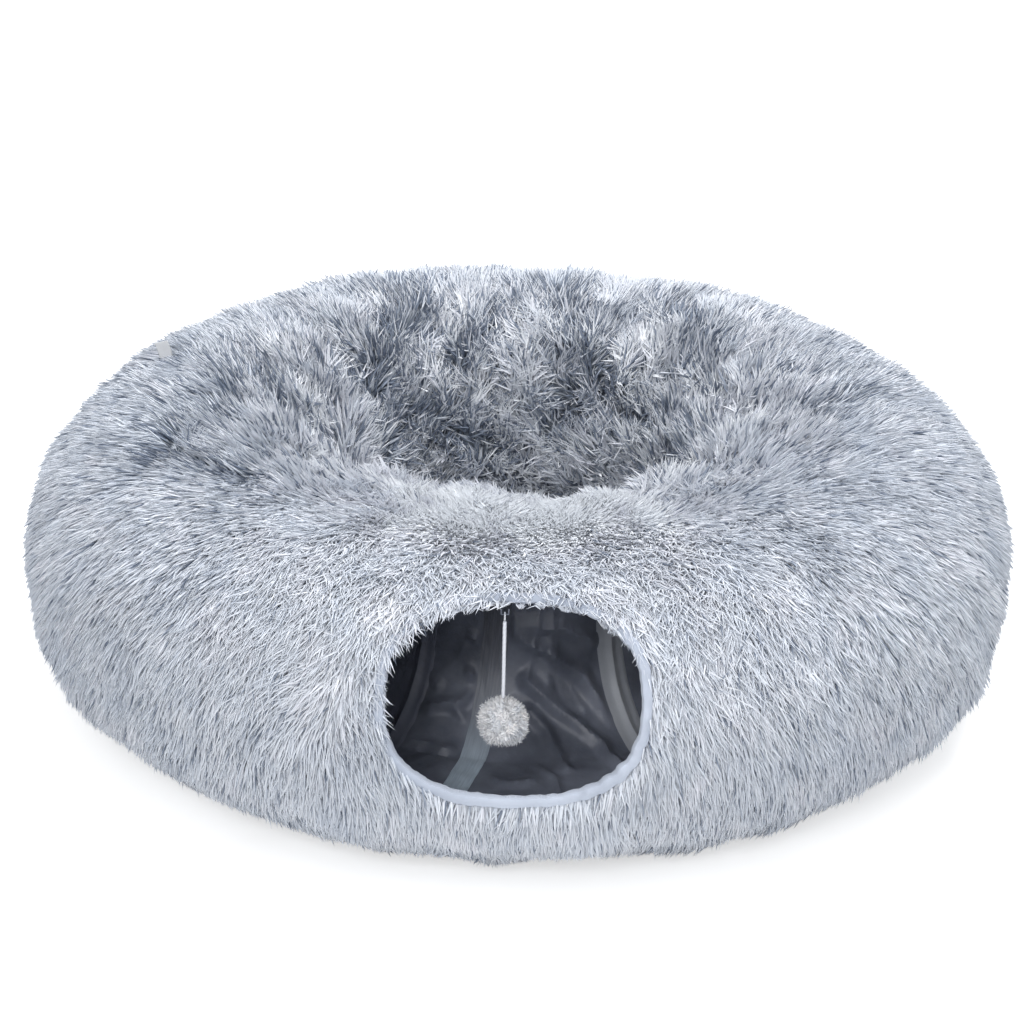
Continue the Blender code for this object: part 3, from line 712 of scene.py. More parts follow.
CREASES = (
    seam_crease(RIGHT_FRONT_SEAM, -50.0, 60.0, 0.0015, 0.014, 0.14),
    seam_crease(LEFT_FRONT_SEAM, -50.0, 20.0, 0.0010, 0.012, 0.12),
    seam_crease(RIGHT_SIDE_SEAM, -50.0, 120.0, 0.0030, 0.011, 0.40),
    seam_crease(LEFT_SIDE_SEAM, -50.0, 100.0, 0.0035, 0.011, 0.50),
    seam_crease(RIGHT_BACK_SEAM, -50.0, 60.0, 0.0020, 0.011, 0.30),
    Crease(((-156.0, 84.0), (-157.0, 106.0), (-146.5, 119.0), (-131.0, 139.5)), 0.012, 0.013, 1.5),
    Crease(
        ((174.0, 88.0), (172.0, 105.0), (166.0, 122.0), (157.5, 141.0), (168.5, 158.0)), 0.010, 0.012, 1.4
    ),
    Crease(((150.5, 99.5), (135.5, 109.5), (128.0, 124.0)), 0.008, 0.011, 1.2),
    Crease(((-178.0, 108.0), (-170.0, 124.0), (-160.0, 136.0)), 0.007, 0.010, 1.1),
    Crease(((-124.0, 159.5), (-138.0, 152.0), (-152.0, 158.0), (-167.0, 169.0)), 0.009, 0.011, 1.3),
    Crease(((130.5, 146.5), (144.0, 152.0), (154.0, 146.0)), 0.008, 0.011, 1.2),
    Crease(((123.5, 169.0), (112.0, 155.0), (98.0, 142.5)), 0.008, 0.011, 1.1),
    Crease(((-101.5, 110.5), (-89.0, 124.5)), 0.010, 0.012, 1.3),
    Crease(((-97.0, 108.5), (-86.0, 103.0), (-76.0, 101.0)), 0.007, 0.010, 1.0),
    Crease(((-72.5, 81.5), (-66.0, 70.0)), 0.008, 0.010, 1.1),
    Crease(((-70.0, 77.0), (-59.0, 82.5), (-51.5, 88.5)), 0.009, 0.011, 1.1),
    Crease(((89.5, 108.0), (91.5, 94.5), (94.0, 85.0)), 0.006, 0.010, 0.9),
)


@dataclass(frozen=True)
class Comb:
    """A patch where the nap is combed aside: a place, a size and a pull across and down."""

    azimuth: float
    turn: float
    radius: float
    across: float
    down: float


COMBS = (
    Comb(-16.0, 12.0, 0.050, 1.4, 0.3),
    Comb(-22.0, 20.0, 0.040, -1.2, -0.3),
    Comb(21.0, 8.0, 0.040, 0.25, 0.0),
)


def near_line(points: Array, line: Array) -> tuple[Array, Array]:
    """Measure points against a line.

    Args:
        points: Points near the line's surface.
        line: The line's points.

    Returns:
        Each point's distance to the line, and its offset from the nearest place on it.
    """
    best = np.full(len(points), np.inf)
    offset = np.zeros_like(points)
    for start, end in zip(line, line[1:]):
        run = end - start
        share = np.clip((points - start) @ run / (run @ run), 0.0, 1.0)
        away = points - start - share[:, None] * run
        distance = np.linalg.norm(away, axis=1)
        closer = distance < best
        best[closer] = distance[closer]
        offset[closer] = away[closer]
    return best, offset


@dataclass
class Relief:
    """The lie of the plush: its swells, the creases between them and how the nap is combed."""

    tube: Tube
    entrance: Entrance
    flank_swell: float = 0.0022
    well_swell: float = 0.0050
    broad: Swells = Swells(11, 0.150)
    narrow: Swells = Swells(12, 0.070)
    gather_wander: Swells = Swells(14, 0.110)
    gather_depth: float = 0.0040
    gather_step: float = 12.5
    gather_turn: float = 135.0
    lines: list[tuple[Crease, Array]] = field(default_factory=list)

    def __post_init__(self) -> None:
        """Lay the creases on the tube."""
        self.lines = [(crease, crease.points(self.tube)) for crease in CREASES]

    def well_share(self, turn: Array) -> Array:
        """Return how far a turn belongs to the rumpled side that faces the well."""
        turn = wrapped(turn, -90.0)
        return smooth_step(turn, 80.0, 125.0) * smooth_step(turn, 258.0, 222.0)

    def gathers(self, azimuth: Array, turn: Array) -> Array:
        """Judge the gathers behind the front panel.

        Args:
            azimuth: Azimuths in degrees.
            turn: Turns in degrees.

        Returns:
            Shares from -1, where the cloth puffs out, to 1, where a gather draws it in.
        """
        surface = self.tube.points(azimuth, turn, 0.0)
        beside = np.abs(azimuth) - RIGHT_FRONT_SEAM.azimuths[0] + 2.2 * self.gather_wander.at(surface)
        strength = np.maximum(np.cos(np.radians(turn - self.gather_turn)), 0.0)
        strength = strength * smooth_step(np.abs(azimuth), 30.0, 37.0)
        return strength * np.cos(2.0 * math.pi * beside / self.gather_step)

    def draw_in(self, azimuth: Array, turn: Array) -> Array:
        """Return how much deeper than even the cloth lies."""
        surface = self.tube.points(azimuth, turn, 0.0)
        well = self.well_share(turn)
        swell = self.broad.at(surface) * 0.6 + self.narrow.at(surface) * (0.35 + 0.65 * well)
        deeper = swell * (self.flank_swell + (self.well_swell - self.flank_swell) * well)
        deeper += self.gather_depth * self.gathers(azimuth, turn)
        for crease, line in self.lines:
            distance, _ = near_line(surface, line)
            deeper += crease.size * np.exp(-((distance / crease.width) ** 2))
        return deeper * smooth_step(self.entrance.reach(surface), 1.0, 1.35)

    def combed(self, points: Array, across: Array, down: Array) -> tuple[Array, Array]:
        """Find the nap's direction at roots.

        Args:
            points: The roots, brought to the pile's even surface.
            across: Their directions across the panel.
            down: Their directions down the tube.

        Returns:
            The nap's directions, and how strongly a crease parts the pile there.
        """
        nap = down.copy()
        for comb in COMBS:
            centre = self.tube.points(np.array(comb.azimuth), np.array(comb.turn), 0.0)
            share = np.exp(-((np.linalg.norm(points - centre, axis=1) / comb.radius) ** 2))[:, None]
            nap += share * (comb.across * across + comb.down * down)
        parted = np.zeros(len(points))
        for crease, line in self.lines:
            distance, away = near_line(points, line)
            share = crease.parting * np.exp(-((distance / (1.6 * crease.width)) ** 2))
            nap += share[:, None] * unit(away)
            parted = np.maximum(parted, share)
        return unit(nap), parted


@dataclass(frozen=True)
class Panel:
    """One sewn panel of the wall, between two seams."""

    name: str
    first: Seam
    last: Seam
    columns: int
    seed: int
    locks_share: float

    def azimuths(self, share: Array, turn: Array) -> Array:
        """Return the azimuths at shares across the panel."""
        start = self.first.at(turn)
        return start + (self.last.at(turn) - start) * share

    def width_deg(self) -> float:
        """Return how many degrees the panel spans at its foot, where its seams are straight."""
        return self.last.azimuths[0] - self.first.azimuths[0]


PANELS = (
    Panel("front", LEFT_FRONT_SEAM, RIGHT_FRONT_SEAM, 48, 1, 0.150),
    Panel("right_side", RIGHT_FRONT_SEAM, RIGHT_SIDE_SEAM, 54, 2, 0.225),
    Panel("right_back", RIGHT_SIDE_SEAM, RIGHT_BACK_SEAM, 54, 3, 0.200),
    Panel("left_back", LEFT_BACK_SEAM, LEFT_SIDE_SEAM, 54, 4, 0.200),
    Panel("left_side", LEFT_SIDE_SEAM, LEFT_FRONT_SEAM, 54, 5, 0.225),
)


@dataclass
class Lock:
    """One lock of pile, modelled once: a slim closed blade, as shares along it and sizes about it."""

    along: Array
    about: Array
    faces: Array

    @classmethod
    def model(cls, bend: float = 0.42, rise: float = 0.35) -> "Lock":
        """Model a lock from a cone of three sides, whose corners become its root, two sides and tip.

        Args:
            bend: The share of its length where it is widest.
            rise: How far its two sides stand above its middle line, as a share of half its width.

        Returns:
            The lock.
        """
        clear_selection()
        bpy.ops.mesh.primitive_cone_add(vertices=3, radius1=1.0, depth=1.0)
        obj = bpy.context.object
        faces = np.array([list(polygon.vertices) for polygon in obj.data.polygons])
        bpy.data.objects.remove(obj, do_unlink=True)
        about = np.array([[0.0, 0.0], [-1.0, rise], [1.0, rise], [0.0, 0.0]])
        return cls(np.array([0.0, bend, bend, 1.0]), about, faces)


@dataclass
class Coat:
    """Many locks with their places: where each is rooted, how it lies and what tint it has."""

    roots: Array
    outward: Array
    nap: Array
    lift: Array
    length: Array
    width: Array
    tint: Array
    pale: Array
    gather: Array
    curl_out: float = 20.0
    curl_in: float = 16.0
    flatness: float = 0.55
    roll: float = 0.22
    tint_width: float = 0.012

    def path(self, share: Array) -> tuple[Array, Array]:
        """Return each lock's middle line and its direction at shares along it."""
        start, end = (
            np.cos(angle)[:, None] * self.nap + np.sin(angle)[:, None] * self.outward
            for angle in (np.radians(self.lift + self.curl_out), np.radians(self.lift - self.curl_in))
        )
        t = share[None, :, None]
        middle = start[:, None] * (t - t * t / 2.0) + end[:, None] * (t * t / 2.0)
        middle = self.roots[:, None] + self.length[:, None, None] * middle
        middle = middle + self.gather[:, None] * np.power(t, 1.5)
        return middle, unit(start[:, None] * (1.0 - t) + end[:, None] * t)

    def tips(self) -> Array:
        """Return the locks' tips."""
        return self.path(np.array([1.0]))[0][:, 0]

    def keep(self, chosen: Array) -> "Coat":
        """Return the coat of the chosen locks alone."""
        parts = ("roots", "outward", "nap", "lift", "length", "width", "tint", "pale", "gather")
        picked = {name: getattr(self, name)[chosen] for name in parts}
        return replace(self, **picked)

    def mesh(self, name: str, lock: Lock, floor: float = -1.0) -> Object:
        """Copy the lock to every place and join the copies as one piece.

        Args:
            name: The piece's name.
            lock: The modelled lock.
            floor: The height that no point goes below.

        Returns:
            The object, at the origin.
        """
        middle, direction = self.path(lock.along)
        level = unit(np.cross(self.outward[:, None], direction))
        rise = np.cross(direction, level)
        roll = np.random.default_rng(len(self.roots)).normal(0.0, self.roll, (len(self.roots), 1, 1))
        side = np.cos(roll) * level + np.sin(roll) * rise
        up = np.cross(direction, side)
        size = self.width[:, None, None] / 2.0
        points = middle + size * (
            lock.about[None, :, :1] * side + self.flatness * lock.about[None, :, 1:] * up
        )
        points[..., 2] = np.maximum(points[..., 2], floor)
        count, corners = len(self.roots), len(lock.along)
        faces = lock.faces[None] + corners * np.arange(count)[:, None, None]
        mesh = bpy.data.meshes.new(name)
        mesh.vertices.add(count * corners)
        mesh.loops.add(faces.size)
        mesh.polygons.add(faces.size // 3)
        mesh.vertices.foreach_set("co", points.astype(np.float32).ravel())
        mesh.loops.foreach_set("vertex_index", faces.astype(np.int32).ravel())
        mesh.polygons.foreach_set("loop_start", np.arange(0, faces.size, 3, dtype=np.int32))
        mesh.update(calc_edges=True)
        mesh.shade_flat()
        across = self.tint[:, None] + self.tint_width * np.sign(lock.about[:, 0])[None]
        along = self.pale[:, None] + (1.0 - self.pale[:, None]) * lock.along
        places = np.clip(np.stack([across, along], axis=-1), 0.002, 0.998)
        add_map(mesh, places[:, lock.faces].reshape(-1, 2))
        obj = bpy.data.objects.new(name, mesh)
        bpy.context.scene.collection.objects.link(obj)
        return obj


@dataclass(frozen=True)
class Blend:
    """A value of the pile: an even base, and how much each zone of the ring adds to it."""

    base: float
    well: float = 0.0
    back: float = 0.0
    crown: float = 0.0
    painted_shade_left_top: float = 0.0
    low: float = 0.0
    low_right: float = 0.0
    lip: float = 0.0
    painted_light_lip: float = 0.0
    front: float = 0.0
    tousled_front: float = 0.0
    painted_light_front: float = 0.0
    parted: float = 0.0
    hidden: float = 0.0

    def over(self, zones: dict[str, Array]) -> Array:
        """Return the value at places, by how far each of them belongs to each zone."""
        return self.base + sum(getattr(self, zone) * share for zone, share in zones.items())


@dataclass(frozen=True)
class Tuft:
    """How neighbouring locks draw together: how many, how strongly and where."""

    locks: int
    pull: float
    share: Blend


@dataclass(frozen=True)
class Growth:
    """How the ring's pile grows, with lengths in metres and angles in degrees."""

    root_depth: float = 0.001
    wander: Blend = Blend(13.0, well=12.0, back=8.0, crown=4.0, tousled_front=11.0)
    broad_sway: Blend = Blend(6.0, well=8.0, crown=6.0)
    fine_sway: Blend = Blend(2.0, well=22.0, crown=4.0)
    lift: Blend = Blend(
        30.0, well=4.0, back=6.0, crown=2.0, low=-18.0, lip=6.0, tousled_front=-8.0, parted=10.0
    )
    lift_swell: Blend = Blend(4.0, well=6.0)
    lift_spread: Blend = Blend(5.0, well=4.0)
    length: Blend = Blend(0.0250, well=0.0020, low=-0.0070, low_right=0.0060, lip=-0.0125)
    length_spread: tuple[float, float] = (0.72, 1.16)
    short_length: float = 0.55
    label_cover: float = 0.6
    width: Blend = Blend(0.0016, well=0.0002)
    short_width: float = 0.0012
    width_spread: tuple[float, float] = (0.7, 1.3)
    front_slimness: float = 0.2
    # The tone rises in the well, on the upward face of the lip and at the front: painted light, up to
    # brighter than white.
    tone: Blend = Blend(0.60, well=0.24, painted_light_lip=0.36, front=0.06)
    tone_swell: float = 0.06
    tone_spread: float = 0.08
    tone_range: tuple[float, float] = (0.27, 0.99)
    # The frosting starts further up in the well, on the lip and at the front, which is painted light, and
    # lower at the left top, which is painted shade.
    pale: Blend = Blend(0.50, well=0.26, painted_shade_left_top=-0.125, painted_light_lip=0.20, painted_light_front=0.30)
    pale_spread: float = 0.05
    # Where creases part the pile or gathers draw it in, the frosting starts lower: painted shade.
    pale_hidden: float = 0.52
    palest: float = 0.90
    # Dark speck locks: partly the fur's own dark roots, partly painted shade between tufts. Those added in
    # the well, at the left top and in creases are painted shade.
    shade_specks: Blend = Blend(0.07, well=0.08, painted_shade_left_top=0.08, hidden=0.40)
    shade_speck_range: tuple[float, float] = (0.03, 0.20)
    tufts: tuple[Tuft, ...] = (
        Tuft(12, 0.40, Blend(0.55, well=0.25)),
        Tuft(52, 0.30, Blend(0.6, well=0.6)),
        Tuft(120, 0.36, Blend(0.0, well=1.0)),
    )
    tuft_spread: tuple[float, float] = (0.6, 1.3)
    tuft_tone: float = 0.07
    front_calm: float = 0.5


@dataclass
class Cover:
    """The plush cover: a backing cloth for each panel and the long pile that grows from it."""

    tube: Tube
    entrance: Entrance
    relief: Relief
    lock: Lock
    pile: Material
    backing: Material
    growth: Growth = Growth()
    locks: int = 312000
    short_locks: int = 165000
    quick_share: float = 0.25
    most_locks: int = 45000
    flank_depth: float = 0.0140
    well_depth: float = 0.0112
    lip_rise: float = 0.0100
    lip_middle: float = 1.3
    fringe: Swells = Swells(24, 0.010)
    inner_depth: float = 0.0178
    least_thickness: float = 0.0012
    rows: int = 96
    first_turn: float = -84.0
    last_turn: float = 238.0
    floor: float = 0.0016
    bare_reach: float = 1.03
    short_reach: float = 1.42
    short_turns: tuple[float, float] = (28.0, 90.0)
    short_half_span: float = 27.0
    short_lip: float = 0.2
    trim_rounds: int = 7
    trim_step: float = 0.84
    trim_slack: float = 0.03

    def skin_depth(self, azimuth: Array, turn: Array) -> Array:
        """Return the depth of the backing cloth's outer face."""
        well = self.relief.well_share(turn)
        depth = self.flank_depth + (self.well_depth - self.flank_depth) * well
        rise = self.lip_rise * smooth_step(np.abs(azimuth - self.lip_middle), 24.0, 13.0)
        depth = depth + self.relief.draw_in(azimuth, turn) - rise * self.lip_share(azimuth, turn)
        return np.minimum(depth, self.inner_depth - self.least_thickness)

    def add_backing(self, panel: Panel) -> None:
        """Add a panel's backing cloth as a closed shell."""

        def place(across: Array, along: Array) -> Array:
            turn = whole_turn(along, FULL_TURN)
            share, outside = shell_faces(across, panel.columns)
            azimuth = panel.azimuths(share, turn)
            depth = np.where(outside, self.skin_depth(azimuth, turn), self.inner_depth)
            return self.tube.points(azimuth, turn, depth)

        skin = rolled_grid(f"backing_{panel.name}", shell_cells(panel.columns), self.rows, place)
        if panel.name == "front":
            cut_entrance(skin, self.entrance)
        dress(skin, self.backing, Body.RING, Slot.PLUSH, f"plush_{panel.name}")

    def roots(self, panel: Panel, count: int, seed: int) -> tuple[Array, Array]:
        """Spread roots evenly over a panel's cloth.

        Args:
            panel: The panel.
            count: How many roots.
            seed: The seed of their scatter.

        Returns:
            Their azimuths and turns.
        """
        turns = np.linspace(self.first_turn, self.last_turn, 601)
        widths = panel.last.at(turns) - panel.first.at(turns)
        places = self.tube.points(np.zeros_like(turns), turns, 0.0)
        steps = np.linalg.norm(np.gradient(places, axis=0), axis=1)
        worth = 1.0 + 0.25 * smooth_step(turns, 70.0, 100.0) - 0.75 * smooth_step(turns, 165.0, 205.0)
        worth = worth - 0.30 * smooth_step(turns, -45.0, -66.0)
        area = np.cumsum(steps * widths * np.hypot(places[:, 0], places[:, 1]) * worth)
        across, along = even_shares(count)
        draw = np.random.default_rng(seed)
        across = (across + draw.normal(0.0, 0.15 / math.sqrt(count), count)) % 1.0
        turn = np.interp(along * area[-1], area, turns) + draw.normal(0.0, 0.12, count)
        return panel.azimuths(across, turn), turn

    def lip_share(self, azimuth: Array, turn: Array) -> Array:
        """Return how far a place belongs to the short pale pile of the lip over the entrance."""
        across = smooth_step(np.abs(azimuth - self.lip_middle), 28.0, 20.0)
        return smooth_step(turn, 73.0, 87.0) * smooth_step(turn, 150.0, 120.0) * across

    def coat(self, panel: Panel, count: int, seed: int, short: bool = False) -> Coat:
        """Grow a panel's pile.

        Args:
            panel: The panel.
            count: How many locks over the panel.
            seed: The seed of their scatter.
            short: Whether this is the short pile alone, round the entrance and on the lip.

        Returns:
            The coat, without the locks that would grow in the entrance.
        """
        azimuth, turn = self.roots(panel, count, seed)
        kept = self.grows(azimuth, turn, short)
        azimuth, turn = azimuth[kept], turn[kept]
        even = self.tube.points(azimuth, turn, 0.0)
        draw = np.random.default_rng(100 + seed)
        across, down, outward = self.tube.frames(azimuth, turn, 0.0)
        nap, parted = self.relief.combed(even, across, down)
        zones = self.zones(azimuth, turn, parted)
        nap, lift = self.lay(nap, outward, even, zones, draw)
        length, width = self.sizes(even, zones, short, draw)
        tint, pale = self.tones(even, zones, draw)
        roots = self.tube.points(azimuth, turn, self.skin_depth(azimuth, turn) + self.growth.root_depth)
        coat = Coat(roots, outward, nap, lift, length, width, tint, pale, np.zeros_like(roots))
        calm = 1.0 - self.growth.front_calm * zones["front"]
        coat.gather = self.gather(coat, zones, draw) * calm[:, None]
        coat.tint = self.shade_speckled(coat.tint, zones, draw)
        return self.trim(coat)

    def grows(self, azimuth: Array, turn: Array, short: bool) -> Array:
        """Return whether pile grows at each place: the short pile only round the entrance and on the lip."""
        reach = self.entrance.reach(self.tube.points(azimuth, turn, 0.0))
        outside = reach > self.bare_reach
        if not short:
            return outside
        low, high = self.short_turns
        crown = (turn > low) & (turn < high) & (np.abs(azimuth) < self.short_half_span)
        lip = self.lip_share(azimuth, turn) > self.short_lip
        return outside & (crown | (reach < self.short_reach) | lip)

    def zones(self, azimuth: Array, turn: Array, parted: Array) -> dict[str, Array]:
        """Find how far places belong to each zone of the ring.

        Args:
            azimuth: Azimuths in degrees.
            turn: Turns in degrees.
            parted: How strongly a crease parts the pile.

        Returns:
            Shares from 0 to 1, by the names of the zones.
        """
        sideways = np.abs(azimuth)
        well = self.relief.well_share(turn)
        crown = smooth_step(turn, 35.0, 75.0)
        low = smooth_step(turn, -12.0, -52.0)
        lip = self.lip_share(azimuth, turn)
        front = smooth_step(sideways, 50.0, 25.0) * smooth_step(turn, 2.0, 32.0)
        right = smooth_step(azimuth, 10.0, 22.0) * smooth_step(azimuth, 75.0, 55.0)
        gathered = np.maximum(self.relief.gathers(azimuth, turn), 0.0) ** 3
        return {
            "well": well,
            "back": well * smooth_step(sideways, 60.0, 130.0),
            "crown": crown,
            # Where painted shade darkens the pile's left top.
            "painted_shade_left_top": crown * smooth_step(azimuth, -40.0, -75.0),
            "low": low,
            "low_right": low * right,
            "lip": lip,
            # The upward face of the lip, which painted light brightens.
            "painted_light_lip": lip * smooth_step(turn, 118.0, 100.0),
            "front": front,
            "tousled_front": front * (1.0 - lip),
            "painted_light_front": front * (1.0 - well),
            # The front away from the well, which painted light brightens.
            "parted": parted,
            # Where creases and gathers lie, which painted shade darkens.
            "hidden": np.minimum(np.maximum(parted, 0.8 * gathered), 1.0),
        }

    def lay(
        self, nap: Array, outward: Array, even: Array, zones: dict[str, Array], draw: np.random.Generator
    ) -> tuple[Array, Array]:
        """Swing the nap about and lift it from the cloth.

        Args:
            nap: The combed nap's directions.
            outward: The wall's outward directions.
            even: The roots, brought to the pile's even surface.
            zones: How far each root belongs to each zone.
            draw: The panel's random draws.

        Returns:
            The locks' directions, and their lifts in degrees.
        """
        growth = self.growth
        sway = Swells(21, 0.060).at(even) * growth.broad_sway.over(zones)
        sway = sway + Swells(25, 0.030).at(even) * growth.fine_sway.over(zones)
        wander = draw.normal(0.0, 1.0, len(even)) * growth.wander.over(zones)
        swing = np.radians(sway + wander)[:, None]
        lift = growth.lift.over(zones) + Swells(22, 0.045).at(even) * growth.lift_swell.over(zones)
        lift = lift + draw.normal(0.0, growth.lift_spread.over(zones), len(even))
        return unit(np.cos(swing) * nap + np.sin(swing) * np.cross(outward, nap)), lift

    def sizes(
        self, even: Array, zones: dict[str, Array], short: bool, draw: np.random.Generator
    ) -> tuple[Array, Array]:
        """Return the locks' lengths, less where they would cover the label, and their widths."""
        growth = self.growth
        length = growth.length.over(zones) * draw.uniform(*growth.length_spread, len(even))
        label = self.tube.points(np.array(Label.azimuth), np.array(Label.turn), 0.0)
        covers = smooth_step(np.linalg.norm(even - label, axis=1), 0.030, 0.012)
        length = length * (1.0 - growth.label_cover * covers) * (growth.short_length if short else 1.0)
        width = growth.short_width if short else growth.width.over(zones)
        width = width * draw.uniform(*growth.width_spread, len(even))
        return length, width * (1.0 - growth.front_slimness * zones["front"])

    def tones(
        self, even: Array, zones: dict[str, Array], draw: np.random.Generator
    ) -> tuple[Array, Array]:
        """Return the locks' tints, and how far along the frosting each of them starts, with painted light and
        painted shade by zone.
        """
        growth = self.growth
        tint = growth.tone.over(zones) + growth.tone_swell * Swells(23, 0.050).at(even)
        tint = tint + draw.normal(0.0, growth.tone_spread, len(even))
        pale = growth.pale.over(zones) + draw.normal(0.0, growth.pale_spread, len(even))
        return tint, np.clip(pale - growth.pale_hidden * zones["hidden"], 0.0, growth.palest)

    def shade_speckled(self, tint: Array, zones: dict[str, Array], draw: np.random.Generator) -> Array:
        """Darken some of the locks, partly as the fur's own dark roots and partly as painted shade between
        tufts, fewer of them on the lip and the front.
        """
        growth = self.growth
        shade_specks = growth.shade_specks.over(zones) * (1.0 - 0.9 * np.maximum(zones["lip"], 0.7 * zones["front"]))
        dark = draw.random(len(tint)) < shade_specks
        return np.where(dark, draw.uniform(*growth.shade_speck_range, len(tint)), np.clip(tint, *growth.tone_range))

    def gather(self, coat: Coat, zones: dict[str, Array], draw: np.random.Generator) -> Array:
        """Draw the tips of neighbouring locks together, and give each tuft a tone of its own.

        Args:
            coat: The coat so far, whose tints change.
            zones: How far each lock belongs to each zone.
            draw: The panel's random draws.

        Returns:
            How far each lock's tip moves.
        """
        total = np.zeros_like(coat.roots)
        for tuft in self.growth.tufts:
            chosen = draw.permutation(len(coat.roots))[: max(1, len(coat.roots) // tuft.locks)]
            tree = KDTree(len(chosen))
            for number, root in enumerate(chosen):
                tree.insert(coat.roots[root], number)
            tree.balance()
            nearest = np.array([tree.find(root)[1] for root in coat.roots])
            share = tuft.share.over(zones)
            strength = draw.uniform(*self.growth.tuft_spread, len(chosen))[nearest] * tuft.pull * share
            total += (coat.roots[chosen][nearest] - coat.roots) * strength[:, None]
            tones = draw.normal(size=len(chosen))[nearest]
            coat.tint = coat.tint + self.growth.tuft_tone * share * tones
        return total

    def trim(self, coat: Coat) -> Coat:
        """Shorten the locks that would hide the entrance, less so at its upper left."""
        centre, sideways, upward, _ = self.entrance.axes()

        def limit(tips: Array) -> Array:
            offset = tips - centre
            across, up = offset @ sideways, offset @ upward
            left = smooth_step(-across, 0.010, 0.060) * smooth_step(up, -0.050, -0.005)
            right = smooth_step(across, 0.045, 0.070) * smooth_step(up, 0.010, 0.035)
            tufts = smooth_step(self.fringe.at(tips), 0.3, 1.0)
            top = smooth_step(up, 0.060, 0.068) * tufts
            ragged = 0.05 * (tufts - 0.5) * np.maximum(left, right)
            return 1.015 - 0.20 * left - 0.10 * right - 0.13 * top - ragged

        for _ in range(self.trim_rounds):
            tips = coat.tips()
            over = self.entrance.reach(tips) < limit(tips)
            coat.length = np.where(over, coat.length * self.trim_step, coat.length)
        tips = coat.tips()
        return coat.keep(self.entrance.reach(tips) > limit(tips) - self.trim_slack)

    def add_pile(self, panel: Panel) -> None:
        """Add a panel's pile in pieces of even size."""
        share = 1.0
        coats = [self.coat(panel, int(self.locks * panel.locks_share * share), panel.seed)]
        if panel.name == "front":
            coats.append(self.coat(panel, int(self.short_locks * share), 50 + panel.seed, True))
        number = 0
        for coat in coats:
            parts = math.ceil(len(coat.roots) / self.most_locks)
            for part in range(parts):
                number += 1
                piece = coat.keep(slice(part, None, parts)).mesh(
                    f"pile_{panel.name}_{number}", self.lock, self.floor
                )
                dress(piece, self.pile, Body.RING, Slot.PLUSH)

    def build(self) -> None:
        """Add every panel's backing and pile."""
        for panel in PANELS:
            self.add_backing(panel)
            self.add_pile(panel)


FOLDS = (
    Fold(((-1.0, 185.0), (10.0, 193.0), (20.0, 204.0), (27.0, 227.0), (30.0, 239.0)), 0.0070, 0.0100),
    Fold(((3.0, 204.0), (10.0, 215.0), (16.0, 225.0), (21.0, 237.0), (22.0, 254.0)), 0.0065, 0.0090),
    Fold(((4.0, 218.0), (8.0, 227.0), (10.0, 240.0), (11.0, 252.0)), 0.0055, 0.0080),
    Fold(((8.0, 195.0), (12.0, 204.0), (17.0, 220.0)), -0.0040, 0.0060),
    Fold(((-14.0, 202.0), (-5.0, 211.0)), 0.0045, 0.0055),
    Fold(((-14.0, 187.0), (-8.0, 192.0), (-5.0, 197.0)), 0.0045, 0.0055),
    Fold(((0.0, 182.0), (14.0, 183.0), (27.0, 191.0), (30.0, 200.0)), 0.0060, 0.0100),
    Fold(((-29.0, 222.0), (-16.0, 217.0), (-10.0, 212.0)), 0.0050, 0.0080),
    Fold(((-16.0, 220.0), (-11.0, 226.0)), 0.0035, 0.0055),
    Fold(((-29.0, 204.0), (-23.0, 210.0)), 0.0040, 0.0060),
    Fold(((-29.0, 231.0), (-25.0, 239.0), (-14.0, 240.0)), 0.0045, 0.0080),
    Fold(((-5.0, 258.0), (-1.0, 263.0), (3.0, 260.0)), 0.0035, 0.0070),
    Fold(((5.0, 248.0), (8.0, 259.0), (8.0, 269.0)), 0.0035, 0.0060),
    Fold(((32.0, 215.0), (31.0, 235.0)), 0.0040, 0.0060),
)


def cut_entrance(obj: Object, entrance: Entrance) -> None:
    """Cut the entrance through a piece of the wall."""

    def place(across: Array, along: Array) -> Array:
        angle = whole_turn(along)
        shift = np.where(across < 0.5, -entrance.tube.half_width, entrance.cut_overrun)
        edge = entrance.points(angle, 0.0, shift)
        middle = entrance.points(np.zeros_like(angle), entrance.half_width, shift)
        on_edge = (across > 0.01) & (across < 0.99)
        return np.where(on_edge[:, None], edge, middle)

    cutter = rolled_grid("entrance_cutter", 3, 96, place)
    boolean = obj.modifiers.new("entrance", "BOOLEAN")
    boolean.operation = "DIFFERENCE"
    boolean.solver = "EXACT"
    boolean.object = cutter
    only(obj)
    bpy.ops.object.modifier_apply(modifier=boolean.name)
    bpy.data.objects.remove(cutter, do_unlink=True)


def strip_sides(across: Array, half_width: float) -> tuple[Array, Array]:
    """Split the way round a flat strip into its two sides.

    Args:
        across: Shares of the way round the strip.
        half_width: Half of the strip's width.

    Returns:
        Offsets from the strip's middle line, and whether each point is on the side that faces the tunnel.
    """
    around = across % 1.0
    face = around < 0.5
    return np.where(face, 4.0 * around - 1.0, 3.0 - 4.0 * around) * half_width, face


